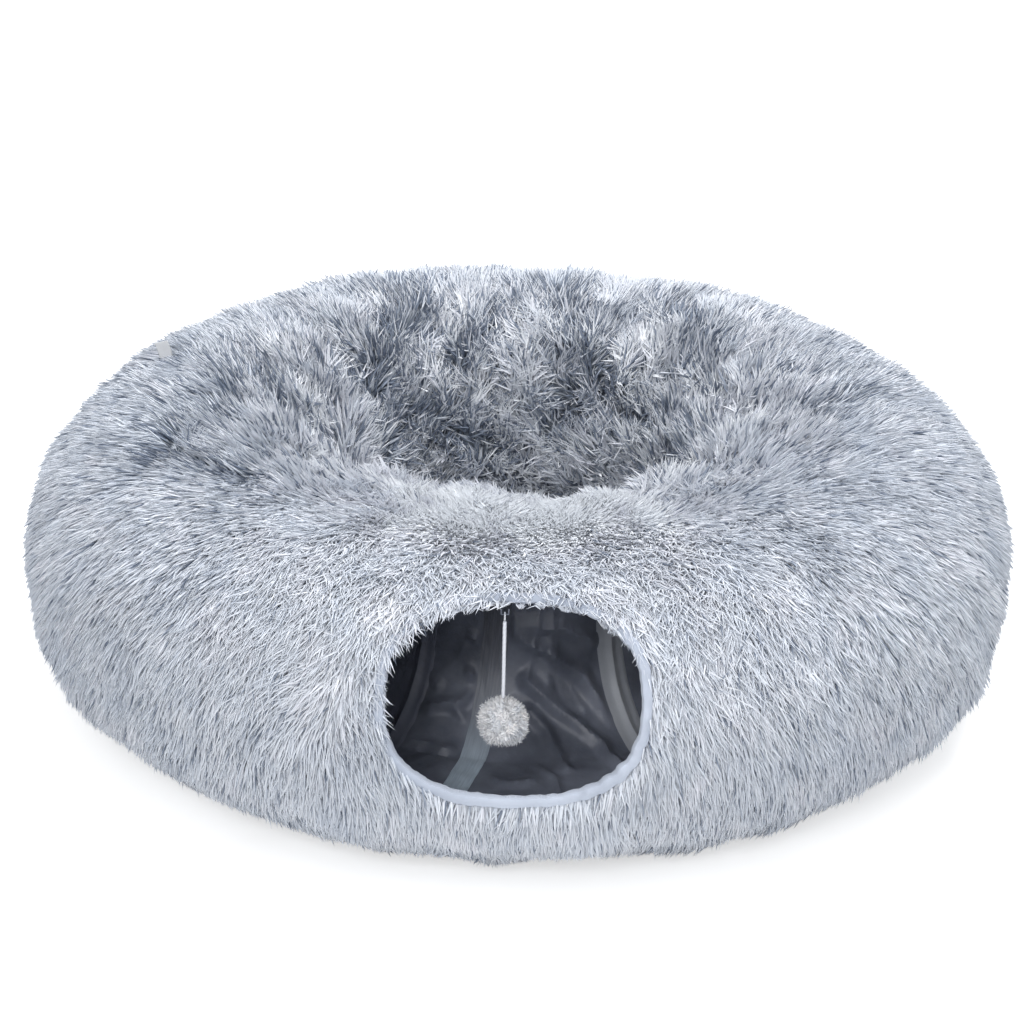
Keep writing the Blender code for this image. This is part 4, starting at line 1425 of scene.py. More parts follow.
@dataclass
class Tunnel:
    """The tunnel's wall behind the plush: wadding, crinkled lining, and the hoops in their casings."""

    tube: Tube
    entrance: Entrance
    wadding: Material
    lining: Material
    tape: Material
    casing: Material
    # A lighter copy of the casing cloth: painted light.
    painted_lit_casing: Material
    wire: Material
    girth: float = 0.76
    wadding_depth: float = 0.0183
    wadding_inner: float = 0.0234
    wadding_lump: float = 0.0004
    lining_depth: float = 0.0246
    lining_thickness: float = 0.0008
    fold_height: float = 0.0036
    fold_limit: float = 0.0110
    entrance_fill: float = 0.86
    hoop_azimuths: tuple[float, ...] = (-142.5, -105.0, -67.5, -30.0, 30.0, 67.5, 105.0, 142.5, 180.0)
    seat_gap: float = 0.0004
    wire_radius: float = 0.00125
    casing_half_width: float = 0.012
    casing_cloth: float = 0.0008
    casing_bulge: float = 0.00275
    bulge_width: float = 0.0034
    casing_ripple: float = 0.0002
    casing_length: float = 0.72
    tape_half_width: float = 0.0105
    tape_cloth: float = 0.0006
    tape_crimp: float = 0.0003
    tape_turns: tuple[float, float] = (112.5, 270.0)
    tape_azimuths: tuple[float, float] = (-3.0, -10.5)

    @property
    def seat(self) -> float:
        """The depth on which hoops and tape lie."""
        return self.lining_depth + self.lining_thickness + self.seat_gap

    def ridges(self, azimuth: Array, turn: Array) -> Array:
        """Return the lining's slanting ridges and crinkles, as shares of a fold's height."""
        surface = self.tube.points(azimuth, turn, self.lining_depth)
        slant = azimuth * 1.35 + turn * 0.62 + 9.0 * Swells(31, 0.16).at(surface)
        wander = 25.0 * Swells(32, 0.10).at(surface)
        broad = 1.0 - np.abs(np.sin(np.radians(slant * 5.2)))
        narrow = 1.0 - np.abs(np.sin(np.radians(slant * 8.7 + wander)))
        crinkle = np.clip(Swells(33, 0.028).at(surface), -1.0, 1.0) * 0.12
        strength = 0.5 + 0.5 * np.clip(Swells(34, 0.12).at(surface), -1.0, 1.0)
        return strength * (0.65 * broad**3 + 0.35 * narrow**4) + crinkle + 0.14

    def folds(self, azimuth: Array, turn: Array) -> Array:
        """Return how far the lining stands into the tunnel: folded, but flat under hoops and tape."""
        surface = self.tube.points(azimuth, turn, self.lining_depth)
        height = self.fold_height * self.ridges(azimuth, turn)
        for crest in FOLDS:
            distance, _ = near_line(surface, crest.points(self.tube, self.lining_depth))
            height += crest.size * np.maximum(1.0 - distance / crest.width, 0.0) ** 1.15
        for hoop in self.hoop_azimuths:
            height = height * smooth_step(np.abs(wrapped(azimuth - hoop)), 2.2, 8.0)
        middle = np.interp(turn, self.tape_turns, self.tape_azimuths)
        on_tape = smooth_step(turn, 95.0, 110.0) * smooth_step(turn, 280.0, 270.0)
        height = height * (1.0 - on_tape * smooth_step(np.abs(azimuth - middle), 6.5, 3.5))
        return np.clip(height, 0.0, self.fold_limit)

    def add_layer(
        self, name: str, panel: Panel, columns: int, rows: int, depth: Layer, finish: Material, slot: Slot
    ) -> Object:
        """Add one panel's layer of the wall as a closed shell.

        Args:
            name: The layer's name.
            panel: The panel.
            columns: How many cells across each face of the shell.
            rows: How many cells round the tube.
            depth: Gives the depth at azimuths and turns, on the outer face or the inner one.
            finish: The layer's material.
            slot: The layer's slot, which its nodes are named after.

        Returns:
            The piece.
        """
        start, width = panel.first.azimuths[0], panel.width_deg()

        def place(across: Array, along: Array) -> Array:
            turn = whole_turn(along, FULL_TURN)
            share, outside = shell_faces(across, columns)
            azimuth = start + width * share
            return self.tube.points(azimuth, turn, depth(azimuth, turn, outside))

        tiles = (2.0 * math.radians(width) * self.tube.ring_radius, 0.75)
        piece = rolled_grid(f"{name}_{panel.name}", shell_cells(columns), rows, place, tiles)
        if panel.name == "front":
            cut_entrance(piece, self.entrance)
        return dress(piece, finish, Body.RING, slot, f"{slot.value}_{panel.name}")

    def add_wadding(self, panel: Panel) -> None:
        """Add one panel's wadding."""

        def depth(azimuth: Array, turn: Array, outside: Array) -> Array:
            lumps = self.wadding_lump * Swells(35, 0.05).at(self.tube.points(azimuth, turn, 0.0))
            return np.where(outside, self.wadding_depth, self.wadding_inner + lumps)

        pad = self.add_layer("wadding_pad", panel, 20, 48, depth, self.wadding, Slot.WADDING)

    def add_lining(self, panel: Panel) -> None:
        """Add one panel's lining, with finer folds in front, where they are seen."""

        def depth(azimuth: Array, turn: Array, outside: Array) -> Array:
            cloth = np.where(outside, 0.0, self.lining_thickness)
            return self.lining_depth + self.folds(azimuth, turn) + cloth

        columns, rows = (110, 220) if panel.name == "front" else (44, 140)
        cloth = self.add_layer("lining_cloth", panel, columns, rows, depth, self.lining, Slot.LINING)
        width = math.radians(panel.width_deg()) * self.tube.ring_radius
        area = width * self.girth
        if panel.name == "front":
            area -= self.entrance_fill * 4.0 * self.entrance.half_width * self.entrance.half_height

    def add_hoop(self, number: int, azimuth: float) -> None:
        """Add one spring-wire hoop and the casing over it."""

        def wire_place(across: Array, along: Array) -> Array:
            turn = whole_turn(along, FULL_TURN)
            angle = whole_turn(across)
            depth = self.seat + self.wire_radius * (1.0 - np.cos(angle))
            offset = self.wire_radius * np.sin(angle)
            return self.tube.beside(azimuth, turn, depth, offset)

        def casing_place(across: Array, along: Array) -> Array:
            turn = whole_turn(along, FULL_TURN)
            offset, face = strip_sides(across, self.casing_half_width)
            bulge = self.casing_bulge * np.exp(-((offset / self.bulge_width) ** 2))
            ripple = Swells(36 + number, 0.020).at(self.tube.points(azimuth, turn, 0.0))
            depth = self.seat + bulge + self.casing_ripple * ripple + np.where(face, self.casing_cloth, 0.0)
            return self.tube.beside(azimuth, turn, depth, offset)

        wire = rolled_grid(f"hoop_spring_{number}", 8, 72, wire_place)
        dress(wire, self.wire, Body.RING, Slot.SPRING_WIRE, f"hoop_wire_{number}")
        tiles = (4.0 * self.casing_half_width, self.casing_length)
        casing = rolled_grid(f"casing_tape_{number}", 24, 96, casing_place, tiles)
        # The casing at +30° takes the lighter copy: painted light shining through it.
        finish = self.painted_lit_casing if azimuth == RIGHT_FRONT_SEAM.azimuths[0] else self.casing
        dress(casing, finish, Body.RING, Slot.TAPE, f"hoop_casing_{number}")

    def add_seam_tape(self) -> None:
        """Add the pale tape over the lining's seam, on the wall that faces the well."""

        def place(across: Array, along: Array) -> Array:
            turn = self.tape_turns[0] + (self.tape_turns[1] - self.tape_turns[0]) * along
            azimuth = self.tape_azimuths[0] + (self.tape_azimuths[1] - self.tape_azimuths[0]) * along
            offset, face = strip_sides(across, self.tape_half_width)
            surface = self.tube.points(azimuth, turn, self.seat)
            crimp = 1.0 + np.clip(Swells(51, 0.012).at(surface + offset[:, None]), -1.0, 1.0)
            depth = self.seat + self.tape_crimp * crimp + np.where(face, self.tape_cloth, 0.0)
            return self.tube.beside(azimuth, turn, depth, offset)

        tape = rolled_grid("seam_tape_strip", 20, 120, place, (4.0 * self.tape_half_width, 0.30))
        close_ends(tape)
        dress(tape, self.tape, Body.RING, Slot.TAPE, "lining_seam_tape")

    def build(self) -> None:
        """Add the wadding, the lining, the hoops and the tape."""
        for panel in PANELS:
            self.add_wadding(panel)
            self.add_lining(panel)
        for number, azimuth in enumerate(self.hoop_azimuths, start=1):
            self.add_hoop(number, azimuth)
        self.add_seam_tape()


@dataclass
class Binding:
    """The padded strip that binds the entrance's edge over a spring-wire ring."""

    entrance: Entrance
    cloth: Material
    wire: Material
    wall_depth: float = 0.0170
    half_depth: float = 0.0110
    width: float = 0.0046
    roll: float = 0.0044
    wrinkle: float = 0.00045
    squareness: float = 0.85
    wire_radius: float = 0.00125

    def place(self, across: Array, along: Array) -> Array:
        """Return the binding's points: round its section across, and round the entrance along."""
        angle, around = whole_turn(along), whole_turn(across)
        edge = self.entrance.edge_shift(angle, self.wall_depth)
        rim = self.entrance.points(angle, 0.0, edge)
        puff = 1.0 + 0.07 * Swells(61, 0.030).at(rim) + 0.06 * Swells(62, 0.010).at(rim)
        wrinkle = self.wrinkle * np.clip(Swells(63, 0.009).at(rim), -1.2, 1.2)
        ripple = self.wrinkle * np.clip(Swells(64, 0.014).at(rim), -1.2, 1.2)
        outward, inward = squarish(around, self.squareness)
        shift = edge + ripple + self.half_depth * puff * outward
        inset = self.width / 2.0 * (1.0 + puff * inward) + wrinkle
        rolled = self.roll * smooth_step(np.cos(around), 0.1, 0.8) * smooth_step(inward, 0.2, -0.8)
        return self.entrance.points(angle, self.entrance.gap + inset - rolled, shift)

    def wire_place(self, across: Array, along: Array) -> Array:
        """Return the wire ring's points."""
        angle, around = whole_turn(along), whole_turn(across)
        edge = self.entrance.edge_shift(angle, self.wall_depth)
        inset = self.width / 2.0 + self.wire_radius * np.sin(around)
        return self.entrance.points(angle, inset, edge + self.wire_radius * np.cos(around))

    def build(self) -> None:
        """Add the binding and its wire."""
        strip = rolled_grid("binding_strip", 20, 200, self.place, (0.06, 0.55))
        dress(strip, self.cloth, Body.RING, Slot.BINDING, "entrance_binding")
        wire = rolled_grid("entrance_spring", 8, 96, self.wire_place)
        dress(wire, self.wire, Body.RING, Slot.SPRING_WIRE, "entrance_wire")


@dataclass
class Toy:
    """The toy that hangs in the entrance: a twisted cord and a fluffy pom-pom."""

    lock: Lock
    cord: Material
    fluff: Material
    side: float = -0.0092
    forward: float = -0.3337
    cord_top: float = 0.21416
    cord_length: float = 0.0640
    cord_diameter: float = 0.0030
    plies: int = 3
    twist_length: float = 0.012
    ply_depth: float = 0.20
    pompom_radius: float = 0.0190
    pompom_gap: float = 0.0003
    core_radius: float = 0.0150
    core_lumps: Swells = Swells(71, 0.014)
    lumpiness: float = 0.05
    fibres: int = 7000
    fibre_length: float = 0.0066
    fibre_width: float = 0.0015
    fibre_lift: tuple[float, float] = (48.0, 15.0)
    fibre_tone: float = 0.58
    tone_spread: float = 0.07
    tone_range: tuple[float, float] = (0.26, 0.98)
    tufts: int = 140
    tuft_tone: float = 0.14
    tuft_pull: float = 0.60

    def cord_route(self) -> list[tuple[float, float, float]]:
        """Return the points that the cord follows, top to bottom."""
        return [(self.side, self.forward, self.cord_top - self.cord_length * k / 16) for k in range(17)]

    def add_cord(self) -> Object:
        """Add the cord: a tube whose plies twist round it."""

        def place(across: Array, along: Array) -> Array:
            angle = whole_turn(across)
            down = along * self.cord_length
            twist = 2.0 * math.pi * down / self.twist_length
            ply = np.abs(np.cos((angle * self.plies + twist * self.plies) / 2.0))
            radius = self.cord_diameter / 2.0 * (1.0 - self.ply_depth * (1.0 - np.sqrt(ply)))
            radius = radius * np.where((along < 0.001) | (along > 0.999), 0.6, 1.0)
            sideways = self.side + radius * np.cos(angle)
            forward = self.forward + radius * np.sin(angle)
            return np.stack([sideways, forward, self.cord_top - down], axis=-1)

        cord = rolled_grid("toy_string", 24, 120, place, (0.01, self.cord_length))
        close_ends(cord)
        return dress(cord, self.cord, Body.TOY, Slot.CORD, "toy_cord")

    def pompom_centre(self) -> Array:
        """Return the pom-pom's centre, under the cord's foot."""
        top = self.cord_top - self.cord_length - self.pompom_gap
        return np.array([self.side, self.forward, top - self.pompom_radius])

    def add_core(self) -> Object:
        """Add the pom-pom's lumpy core, mapped to one shade of its fibres, low on the locks."""
        clear_selection()
        bpy.ops.mesh.primitive_ico_sphere_add(subdivisions=5, radius=self.core_radius)
        core = bpy.context.object
        core.name = core.data.name = "pompom_core"
        points = read_points(core.data)
        lumps = 1.0 + self.lumpiness * self.core_lumps.at(points) + 0.02 * Swells(72, 0.004).at(points)
        write_points(core.data, self.pompom_centre() + points * lumps[:, None])
        bpy.ops.object.shade_smooth()
        dress(core, self.fluff, Body.TOY, Slot.POMPOM, "pompom")
        spread = np.random.default_rng(7).uniform(0.3, 0.8, len(core.data.loops))
        add_map(core.data, np.stack([spread, 0.55 + 0.05 * spread], axis=-1))
        return core

    def add_fluff(self) -> Object:
        """Add the pom-pom's cut fibres, spread evenly over its core and drawn into tufts."""
        index = np.arange(self.fibres) + 0.5
        height = 1.0 - 2.0 * index / self.fibres
        bearing = math.pi * (1.0 + math.sqrt(5.0)) * index
        flat = np.sqrt(1.0 - height**2)
        outward = np.stack([flat * np.cos(bearing), flat * np.sin(bearing), height], axis=-1)
        draw = np.random.default_rng(73)
        outward = unit(outward + draw.normal(0.0, 0.03, outward.shape))
        nap = unit(np.cross(outward, draw.normal(size=outward.shape)))
        lumps = 1.0 + self.lumpiness * (self.core_lumps.at(outward * self.core_radius) - 1.0)
        count = len(outward)
        heads = outward[:: self.fibres // self.tufts]
        nearest = np.argmax(outward @ heads.T, axis=1)
        tone = self.fibre_tone + draw.normal(0.0, self.tuft_tone, len(heads))[nearest]
        coat = Coat(
            self.pompom_centre() + outward * (self.core_radius * lumps)[:, None],
            outward,
            nap,
            draw.normal(*self.fibre_lift, count),
            self.fibre_length * draw.uniform(0.5, 1.2, count),
            self.fibre_width * draw.uniform(0.6, 1.2, count),
            np.clip(tone + draw.normal(0.0, self.tone_spread, count), *self.tone_range),
            np.full(count, 0.3),
            self.tuft_pull * self.core_radius * (heads[nearest] - outward),
        )
        return dress(coat.mesh("pompom_fluff", self.lock), self.fluff, Body.TOY, Slot.POMPOM)

    def build(self) -> None:
        cord = self.add_cord()
        core = self.add_core()
        fluff = self.add_fluff()
        route = self.cord_route()
        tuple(route[0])


@dataclass
class Mat:
    """The loose mat in the well: two covers with a short pile, their filling and the piping on their seam."""

    lock: Lock
    pile: Material
    backing: Material
    filling: Material
    piping: Material
    radius: float = 0.108
    floor: float = 0.0041
    seam: float = 0.0301
    crown: float = 0.030
    rounding: float = 0.014
    cloth: float = 0.003
    gap: float = 0.0003
    pile_drop: float = 0.006
    piping_radius: float = 0.0030
    zip_half_span: float = 45.0
    flat_share: float = 0.8
    dome_roundness: float = 0.8
    crown_roundness: float = 0.5
    core_roundness: float = 0.7
    lump_height: float = 0.0016
    locks: int = 7000
    lock_length: float = 0.0115
    lock_width: float = 0.0022
    lock_lift: tuple[float, float] = (34.0, 6.0)
    rim_shortening: float = 0.45
    tone_spread: float = 0.12

    def face(self, across: Array) -> tuple[Array, Array]:
        """Return shares from a cover's middle to its rim, and how deep in its cloth each point lies."""
        outside = across <= 0.5
        return np.where(outside, 2.0 * across, 2.0 - 2.0 * across), np.where(outside, 0.0, self.cloth)

    def dome(self, share: Array, bearing: Array, cloth: Array | float, foot: float) -> Array:
        """Return points of the upper side, which lies under its pile and closes on the piping.

        Args:
            share: Shares from the middle to the rim.
            bearing: Bearings in radians.
            cloth: How deep in the cloth the points lie.
            foot: The rim's height.

        Returns:
            The points.
        """
        inset = cloth + self.pile_drop * smooth_step(share, 1.0, 0.7)
        out = (self.radius - inset) * np.sin(share * math.pi / 2.0) ** self.dome_roundness
        level = np.maximum(np.cos(share * math.pi / 2.0), 0.0) ** self.crown_roundness
        return ring_points(out, bearing, foot + (self.crown - inset) * level)

    def upper_place(self, across: Array, along: Array) -> Array:
        """Return the upper cover's points."""
        share, cloth = self.face(across)
        ground = self.dome(share, whole_turn(along), cloth, self.seam + self.gap / 2.0)
        ground[:, 2] += self.lump_height * Swells(81, 0.055).at(ground) * np.sin(share * math.pi)
        return ground

    def lower_place(self, across: Array, along: Array) -> Array:
        """Return the lower cover's points: flat, with a rounded edge that rises to the seam."""
        share, cloth = self.face(across)
        edge = share > self.flat_share
        corner = np.clip((share - self.flat_share) / (1.0 - self.flat_share), 0.0, 1.0) * math.pi / 2.0
        flat = self.radius - cloth - self.rounding
        out = np.where(edge, flat + self.rounding * np.sin(corner), flat * share / self.flat_share)
        height = self.floor + cloth + self.rounding * (1.0 - np.cos(corner))
        height = np.where(share > 0.999, self.seam - self.gap / 2.0, height)
        return ring_points(out, whole_turn(along), height)

    def filling_place(self, across: Array, along: Array) -> Array:
        """Return the filling's points."""
        angle = (across - 0.5) * math.pi
        inset = self.pile_drop + 2.0 * self.cloth
        out = (self.radius - inset) * np.abs(np.cos(angle)) ** self.core_roundness
        lower = self.seam - self.floor - 2.0 * self.cloth
        reach = np.where(angle > 0.0, self.crown - inset, lower)
        up = reach * signed_power(np.sin(angle), self.core_roundness)
        return ring_points(out, whole_turn(along), self.seam + up)

    def piping_place(self, across: Array, along: Array) -> Array:
        """Return the piping's points, which taper at its ends beside the zip."""
        bearing = np.radians(180.0 + self.zip_half_span + (FULL_TURN - 2.0 * self.zip_half_span) * along)
        around = whole_turn(across)
        size = self.piping_radius * np.sqrt(np.clip(np.minimum(along, 1.0 - along) * 90.0, 0.04, 1.0))
        out = self.radius + self.gap + self.piping_radius + size * np.cos(around)
        return ring_points(out, bearing, self.seam + size * np.sin(around))

    def add_pile(self) -> None:
        """Add the short pile of the upper side."""
        count = self.locks // 1
        across, along = even_shares(count)
        draw = np.random.default_rng(83)
        bearing = whole_turn(along)
        sine = np.clip(np.sqrt(across), 0.0, 0.995) ** (1.0 / self.dome_roundness)
        share = np.clip(np.arcsin(sine) * 2.0 / math.pi, 0.02, 0.97)
        roots = self.dome(share, bearing, 0.0, self.seam)
        beyond, before = (self.dome(share + step, bearing, 0.0, self.seam) for step in (0.01, -0.01))
        side = np.stack([np.cos(bearing), np.sin(bearing), np.zeros_like(bearing)], axis=-1)
        outward = -unit(np.cross(unit(beyond - before), side))
        outward = np.where((outward[:, 2] < 0.0)[:, None], -outward, outward)
        lean = Swells(82, 0.05).at(roots)[:, None]
        nap = unit(np.array([0.25, -1.0, 0.0]) + 0.5 * lean * side + draw.normal(0.0, 0.25, roots.shape))
        nap = unit(nap - (nap * outward).sum(axis=1, keepdims=True) * outward)
        shorter = 1.0 - self.rim_shortening * smooth_step(share, 0.6, 0.95)
        coat = Coat(
            roots,
            outward,
            nap,
            draw.normal(*self.lock_lift, count),
            self.lock_length * draw.uniform(0.75, 1.2, count) * shorter,
            self.lock_width * draw.uniform(0.8, 1.25, count),
            np.clip(0.5 + 0.15 * lean[:, 0] + draw.normal(0.0, self.tone_spread, count), 0.02, 0.98),
            np.full(count, 0.25),
            np.zeros_like(roots),
        )
        dress(coat.mesh("mat_upper_pile", self.lock), self.pile, Body.MAT, Slot.MAT_PLUSH)

    def build(self) -> None:
        """Add the mat's pieces."""
        top = rolled_grid("mat_upper_cover", 48, 96, self.upper_place, (0.4, 0.6))
        dress(top, self.backing, Body.MAT, Slot.MAT_PLUSH, "mat_top")
        self.add_pile()
        bottom = rolled_grid("mat_lower_cover", 48, 96, self.lower_place, (0.4, 0.6))
        dress(bottom, self.backing, Body.MAT, Slot.MAT_PLUSH, "mat_bottom")
        filling = rolled_grid("mat_stuffing", 32, 64, self.filling_place)
        dress(filling, self.filling, Body.MAT, Slot.FILLING, "mat_filling")
        piping = rolled_grid("mat_piping_strip", 12, 180, self.piping_place, (0.02, 0.5))
        close_ends(piping)
        dress(piping, self.piping, Body.MAT, Slot.MAT_PLUSH, "mat_piping")


@dataclass
class Cloths:
    """The base cloth under the ring and the cloth across the foot of the well."""

    base: Material
    floor: Material
    base_radius: float = 0.302
    base_thickness: float = 0.0015
    floor_radius: float = 0.194
    floor_height: float = 0.0018
    floor_thickness: float = 0.0020
    floor_ripple: float = 0.0006
    hem: float = 0.0004

    def disc(self, name: str, radius: float, height: float, thickness: float, ripple: float = 0.0) -> Object:
        """Add a round cloth with a turned, stitched hem.

        Args:
            name: The piece's name.
            radius: Its radius.
            height: The height of its underside.
            thickness: Its thickness at the hem.
            ripple: How deep its ripples are.

        Returns:
            The object.
        """

        def place(across: Array, along: Array) -> Array:
            bearing = whole_turn(along)
            upper = across > 0.5
            share = np.where(upper, 2.0 - 2.0 * across, 2.0 * across)
            hem = self.hem * (smooth_step(share, 0.955, 0.965) - 1.0)
            top = height + thickness + hem - ripple * (1.0 + np.sin(bearing * 24.0) * share) / 2.0
            level = np.where(upper, top, height)
            level = np.where(np.abs(across - 0.5) < 1e-6, height + thickness / 2.0, level)
            return ring_points(radius * np.minimum(share, 1.0), bearing, level)

        return rolled_grid(name, 80, 120, place, (0.6, 2.0))

    def build(self) -> None:
        """Add both cloths."""
        base = self.disc("base_sheet", self.base_radius, 0.0, self.base_thickness)
        dress(base, self.base, Body.RING, Slot.BASE_CLOTH, "base_cloth")
        thickness, ripple = self.floor_thickness, self.floor_ripple
        floor = self.disc("well_floor_sheet", self.floor_radius, self.floor_height, thickness, ripple)
        dress(floor, self.floor, Body.RING, Slot.LINING, "well_floor")


@dataclass
class Label:
    """The blank woven label, folded into the left side seam."""

    tube: Tube
    cloth: Material
    azimuth: float = -105.0
    turn: float = 71.0
    half_width: float = 0.0060
    length: float = 0.0140
    foot_depth: float = 0.0047
    ply: float = 0.0004
    half_gap: float = 0.0002
    fold_squareness: float = 0.6
    curl: float = 0.0010
    columns: int = 24

    def build(self) -> None:
        """Add the label: a ribbon that goes up, over its fold and down again."""
        foot = self.tube.points(np.array(self.azimuth), np.array(self.turn), self.foot_depth)
        across, down, outward = self.tube.frames(np.array(self.azimuth), np.array(self.turn), 0.0)

        def place(side: Array, along: Array) -> Array:
            share, outside = shell_faces(side, self.columns)
            angle = share * math.pi
            half = self.half_gap + np.where(outside, self.ply, 0.0)
            offset = half * signed_power(np.cos(angle), self.fold_squareness)
            tall = self.length - np.where(outside, 0.0, self.ply)
            rise = tall * np.maximum(np.sin(angle), 0.0) ** self.fold_squareness
            width = (along - 0.5) * 2.0 * self.half_width
            curl = self.curl * (rise / self.length) ** 2
            return foot + rise[:, None] * outward + width[:, None] * down + (offset + curl)[:, None] * across

        tag = rolled_grid("side_tag", shell_cells(self.columns), 16, place, (0.028, 0.012))
        close_ends(tag)
        dress(tag, self.cloth, Body.RING, Slot.LABEL, "side_label")


@dataclass(frozen=True)
class Studio:
    """A white floor, soft lamps and the photograph's viewpoint."""

    distance: float = 3.0
    elevation: float = 24.42
    target_height: float = 0.13
    focal_pixels: float = 3581.6
    roll: float = 1.283
    frame_pixels: float = 1024.0
    target_pixel: tuple[float, float] = (519.02, 538.79)
    sensor: float = 36.0
    sky: Colour = (0.97, 0.985, 1.0)
    world_strength: float = 0.58
    floor_size: float = 12.0
    floor_height: float = -0.0004
    floor_colour: Colour = (0.92, 0.92, 0.92)
    floor_glow: float = 0.55

    def add_camera(self) -> None:
        """Add the camera where the photograph was taken from."""
        data = bpy.data.cameras.new("viewpoint")
        data.sensor_width = self.sensor
        data.lens = self.focal_pixels * self.sensor / self.frame_pixels
        data.shift_x = -(self.target_pixel[0] - self.frame_pixels / 2.0) / self.frame_pixels
        data.shift_y = (self.target_pixel[1] - self.frame_pixels / 2.0) / self.frame_pixels
        camera = bpy.data.objects.new("viewpoint", data)
        bpy.context.scene.collection.objects.link(camera)
        slope = math.radians(self.elevation)
        roll = Matrix.Rotation(math.radians(self.roll), 3, "Z")
        turn = Euler((math.pi / 2.0 - slope, 0.0, 0.0)).to_matrix() @ roll
        place = (0.0, -self.distance * math.cos(slope), self.target_height + self.distance * math.sin(slope))
        camera.matrix_world = Matrix.Translation(place) @ turn.to_4x4()
        bpy.context.scene.camera = camera

    def add_lamp(self, name: str, place: Vector, size: float, power: float) -> None:
        """Add a soft square lamp that faces the tunnel."""
        data = bpy.data.lights.new(name, "AREA")
        data.size = size
        data.energy = power
        lamp = bpy.data.objects.new(name, data)
        bpy.context.scene.collection.objects.link(lamp)
        aim = (Vector((0.0, 0.0, 0.1)) - place).to_track_quat("-Z", "Y")
        lamp.matrix_world = Matrix.Translation(place) @ aim.to_matrix().to_4x4()

    def seen_by(self, tree: bpy.types.NodeTree) -> Socket:
        """Return the share of rays that should see plain white: camera, glossy and transmission rays."""
        path = tree.nodes.new("ShaderNodeLightPath")
        total = path.outputs["Is Camera Ray"]
        for output in ("Is Glossy Ray", "Is Transmission Ray"):
            greatest = tree.nodes.new("ShaderNodeMath")
            greatest.operation = "MAXIMUM"
            tree.links.new(total, greatest.inputs[0])
            tree.links.new(path.outputs[output], greatest.inputs[1])
            total = greatest.outputs[0]
        return total

    def split(self, tree: bpy.types.NodeTree, lit: Socket, shown: Socket, output: str) -> None:
        """Give the light one shader, and the rays that should see plain white another."""
        mix = tree.nodes.new("ShaderNodeMixShader")
        for source, target in zip((self.seen_by(tree), lit, shown), mix.inputs):
            tree.links.new(source, target)
        tree.links.new(mix.outputs[0], tree.nodes[output].inputs["Surface"])

    def add_world(self) -> None:
        """Light the scene with an even pale sky that shows as plain white."""
        world = bpy.data.worlds.new("studio")
        bpy.context.scene.world = world
        world.use_nodes = True
        tree = world.node_tree
        background = tree.nodes["Background"]
        background.inputs["Color"].default_value = (*self.sky, 1.0)
        background.inputs["Strength"].default_value = self.world_strength
        white = tree.nodes.new("ShaderNodeBackground")
        white.inputs["Color"].default_value = (*WHITE, 1.0)
        self.split(tree, background.outputs[0], white.outputs[0], "World Output")

    def add_floor(self) -> None:
        """Add a pale floor that shows white away from the shadow."""
        clear_selection()
        bpy.ops.mesh.primitive_plane_add(size=self.floor_size, location=(0.0, 0.0, self.floor_height))
        floor = bpy.context.object
        floor.name = "studio_floor"
        recipe = Recipe("studio_floor", 0.9)
        recipe.shader.inputs["Base Color"].default_value = (*self.floor_colour, 1.0)
        recipe.shader.inputs["Specular IOR Level"].default_value = 0.0
        surface = recipe.shader.outputs[0]
        glow = recipe.add("ShaderNodeEmission", Strength=self.floor_glow)
        total = recipe.add("ShaderNodeAddShader")
        recipe.join(surface, total.inputs[0])
        recipe.join(glow.outputs[0], total.inputs[1])
        self.split(recipe.tree, surface, total.outputs[0], "Material Output")
        floor.data.materials.append(recipe.material)

    def build(self) -> None:
        """Add the camera, the lamps, the sky and the floor."""
        self.add_camera()
        self.add_world()
        self.add_lamp("key_lamp", Vector((-1.4, -2.0, 2.6)), 1.8, 7.0)
        self.add_lamp("fill_lamp", Vector((2.2, -1.6, 1.8)), 2.0, 4.0)
        self.add_lamp("top_lamp", Vector((0.3, 0.0, 2.8)), 2.0, 80.0)
        self.add_lamp("front_lamp", Vector((-0.4, -2.5, 1.6)), 0.7, 19.5)
        self.add_floor()
        bpy.context.scene.view_settings.view_transform = "Standard"


def dress_kept_nodes() -> None:
    """Give the nodes that stay from the frame their finishes."""
    thread = ClothFinish("loop_thread", (0.74, 0.76, 0.82), (0.86, 0.88, 0.93), roughness=0.85)
    tab = ClothFinish("tab_cloth", (0.14, 0.155, 0.20), (0.22, 0.24, 0.30))
    zip_cloth = ClothFinish("zip_cloth", (0.34, 0.38, 0.45), (0.42, 0.46, 0.53), roughness=0.8)
    metal = MetalFinish("zip_metal", (0.50, 0.51, 0.53), (0.62, 0.63, 0.65))
    for finish, names in (
        (thread, ("toy_loop",)),
        (tab, ("toy_tab",)),
        (zip_cloth, ("zip_tape",)),
        (metal, ("zip_teeth", "zip_slider", "zip_pull")),
    ):
        material = finish.material()
        for name in names:
            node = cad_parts[name]
            node.data.materials.clear()
            node.data.materials.append(material)


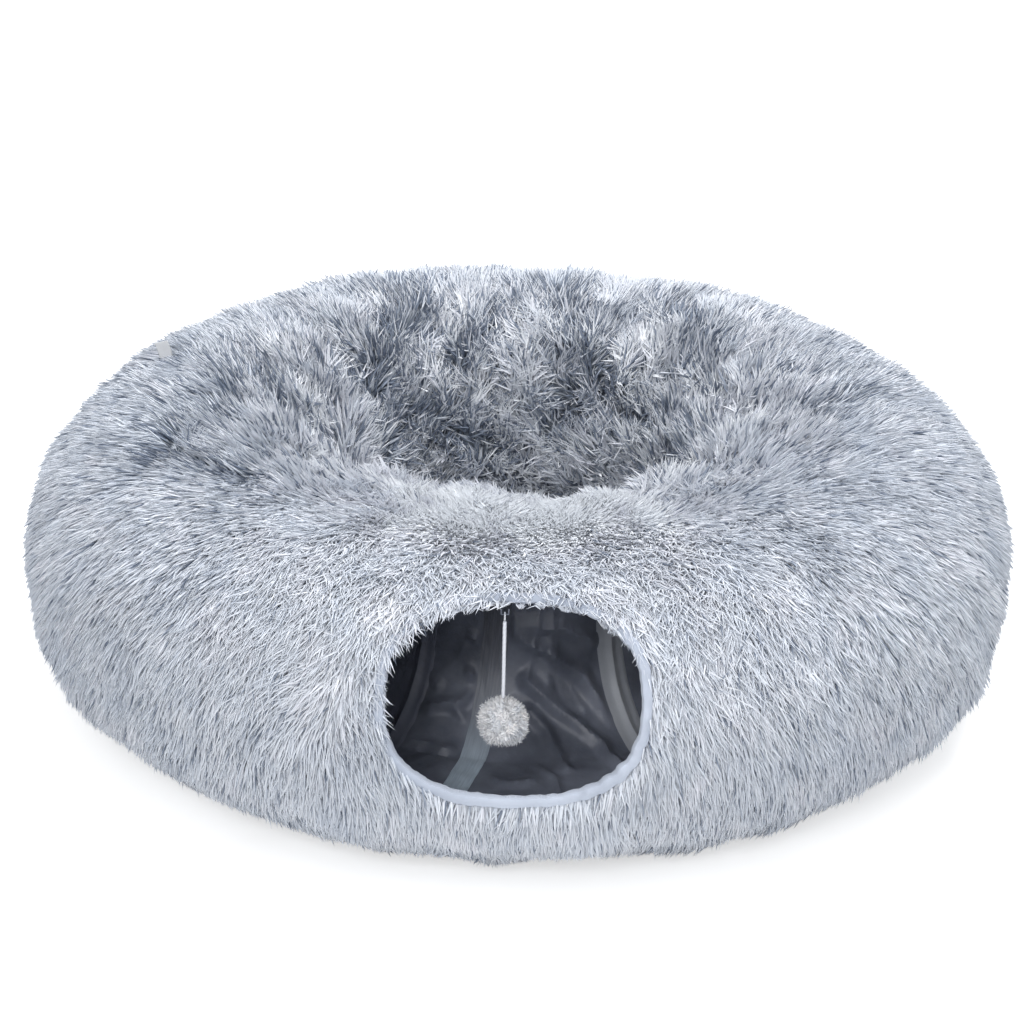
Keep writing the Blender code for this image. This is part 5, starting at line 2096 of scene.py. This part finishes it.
def main() -> None:
    """Build the looks in order."""
    logging.basicConfig(level=logging.INFO, format="%(name)s: %(message)s")
    Studio().build()
    tube = Tube()
    entrance = Entrance(tube)
    relief = Relief(tube, entrance)
    lock = Lock.model()
    frosted = ((0.17, 0.197, 0.242), (0.52, 0.563, 0.628), (0.66, 0.69, 0.742))
    pile = PileFinish("plush_pile", *frosted).material()
    # The backing's low colour is painted shade where it faces the well.
    backing = WellShadedBackingFinish("plush_backing", (0.20, 0.228, 0.275), (0.48, 0.52, 0.58)).material()
    mat_backing = FibreFinish("mat_backing", (0.34, 0.375, 0.43), (0.44, 0.475, 0.53)).material()
    wadding = FibreFinish("wadding", (0.72, 0.72, 0.70), (0.84, 0.84, 0.82)).material()
    filling = FibreFinish("mat_filling", (0.78, 0.78, 0.76), (0.88, 0.88, 0.86)).material()
    crumpled = ClothFinish("lining_cloth", (0.13, 0.143, 0.185), (0.31, 0.335, 0.415), roughness=0.36)
    lining = replace(crumpled, crease_scale=34.0, crease_height=0.0022).material()
    casing = ClothFinish("casing_cloth", (0.17, 0.185, 0.245), (0.30, 0.32, 0.40), roughness=0.40).material()
    # A lighter copy of the casing cloth, as painted light.
    painted_lit_cloth = ClothFinish("painted_lit_casing_cloth", (0.46, 0.49, 0.55), (0.64, 0.67, 0.72), roughness=0.4)
    # The tape's dark top is painted shade.
    tape = TapeFinish("tape_cloth", (0.20, 0.21, 0.25), (0.34, 0.37, 0.43), (0.72, 0.85, 0.97), length=0.30)
    tapes = (tape.material(), casing, painted_lit_cloth.material())
    bound = ClothFinish("binding_cloth", (0.37, 0.41, 0.49), (0.46, 0.505, 0.595), roughness=0.9, sheen=0.1)
    strip = bound.material()
    base = ClothFinish("base_cloth", (0.06, 0.065, 0.078), (0.10, 0.105, 0.12), 700.0, 0.0003).material()
    tag = ClothFinish("tag_cloth", (0.70, 0.71, 0.73), (0.80, 0.81, 0.83), roughness=0.8).material()
    wire = MetalFinish("spring_wire", (0.30, 0.31, 0.33), (0.42, 0.43, 0.45)).material()
    cord = CordFinish("toy_cord", (0.52, 0.54, 0.60), (0.74, 0.76, 0.82)).material()
    off_white = ((0.68, 0.683, 0.692), (0.77, 0.775, 0.79), (0.88, 0.88, 0.89))
    fluff = PileFinish("pompom_fluff", *off_white).material()
    Toy(lock, cord, fluff).build()
    Cover(tube, entrance, relief, lock, pile, backing).build()
    Tunnel(tube, entrance, wadding, lining, *tapes, wire).build()
    Binding(entrance, strip, wire).build()
    Mat(lock, pile, mat_backing, filling, strip).build()
    Cloths(base, lining).build()
    Label(tube, tag).build()
    dress_kept_nodes()


if __name__ == "__main__":
    main()
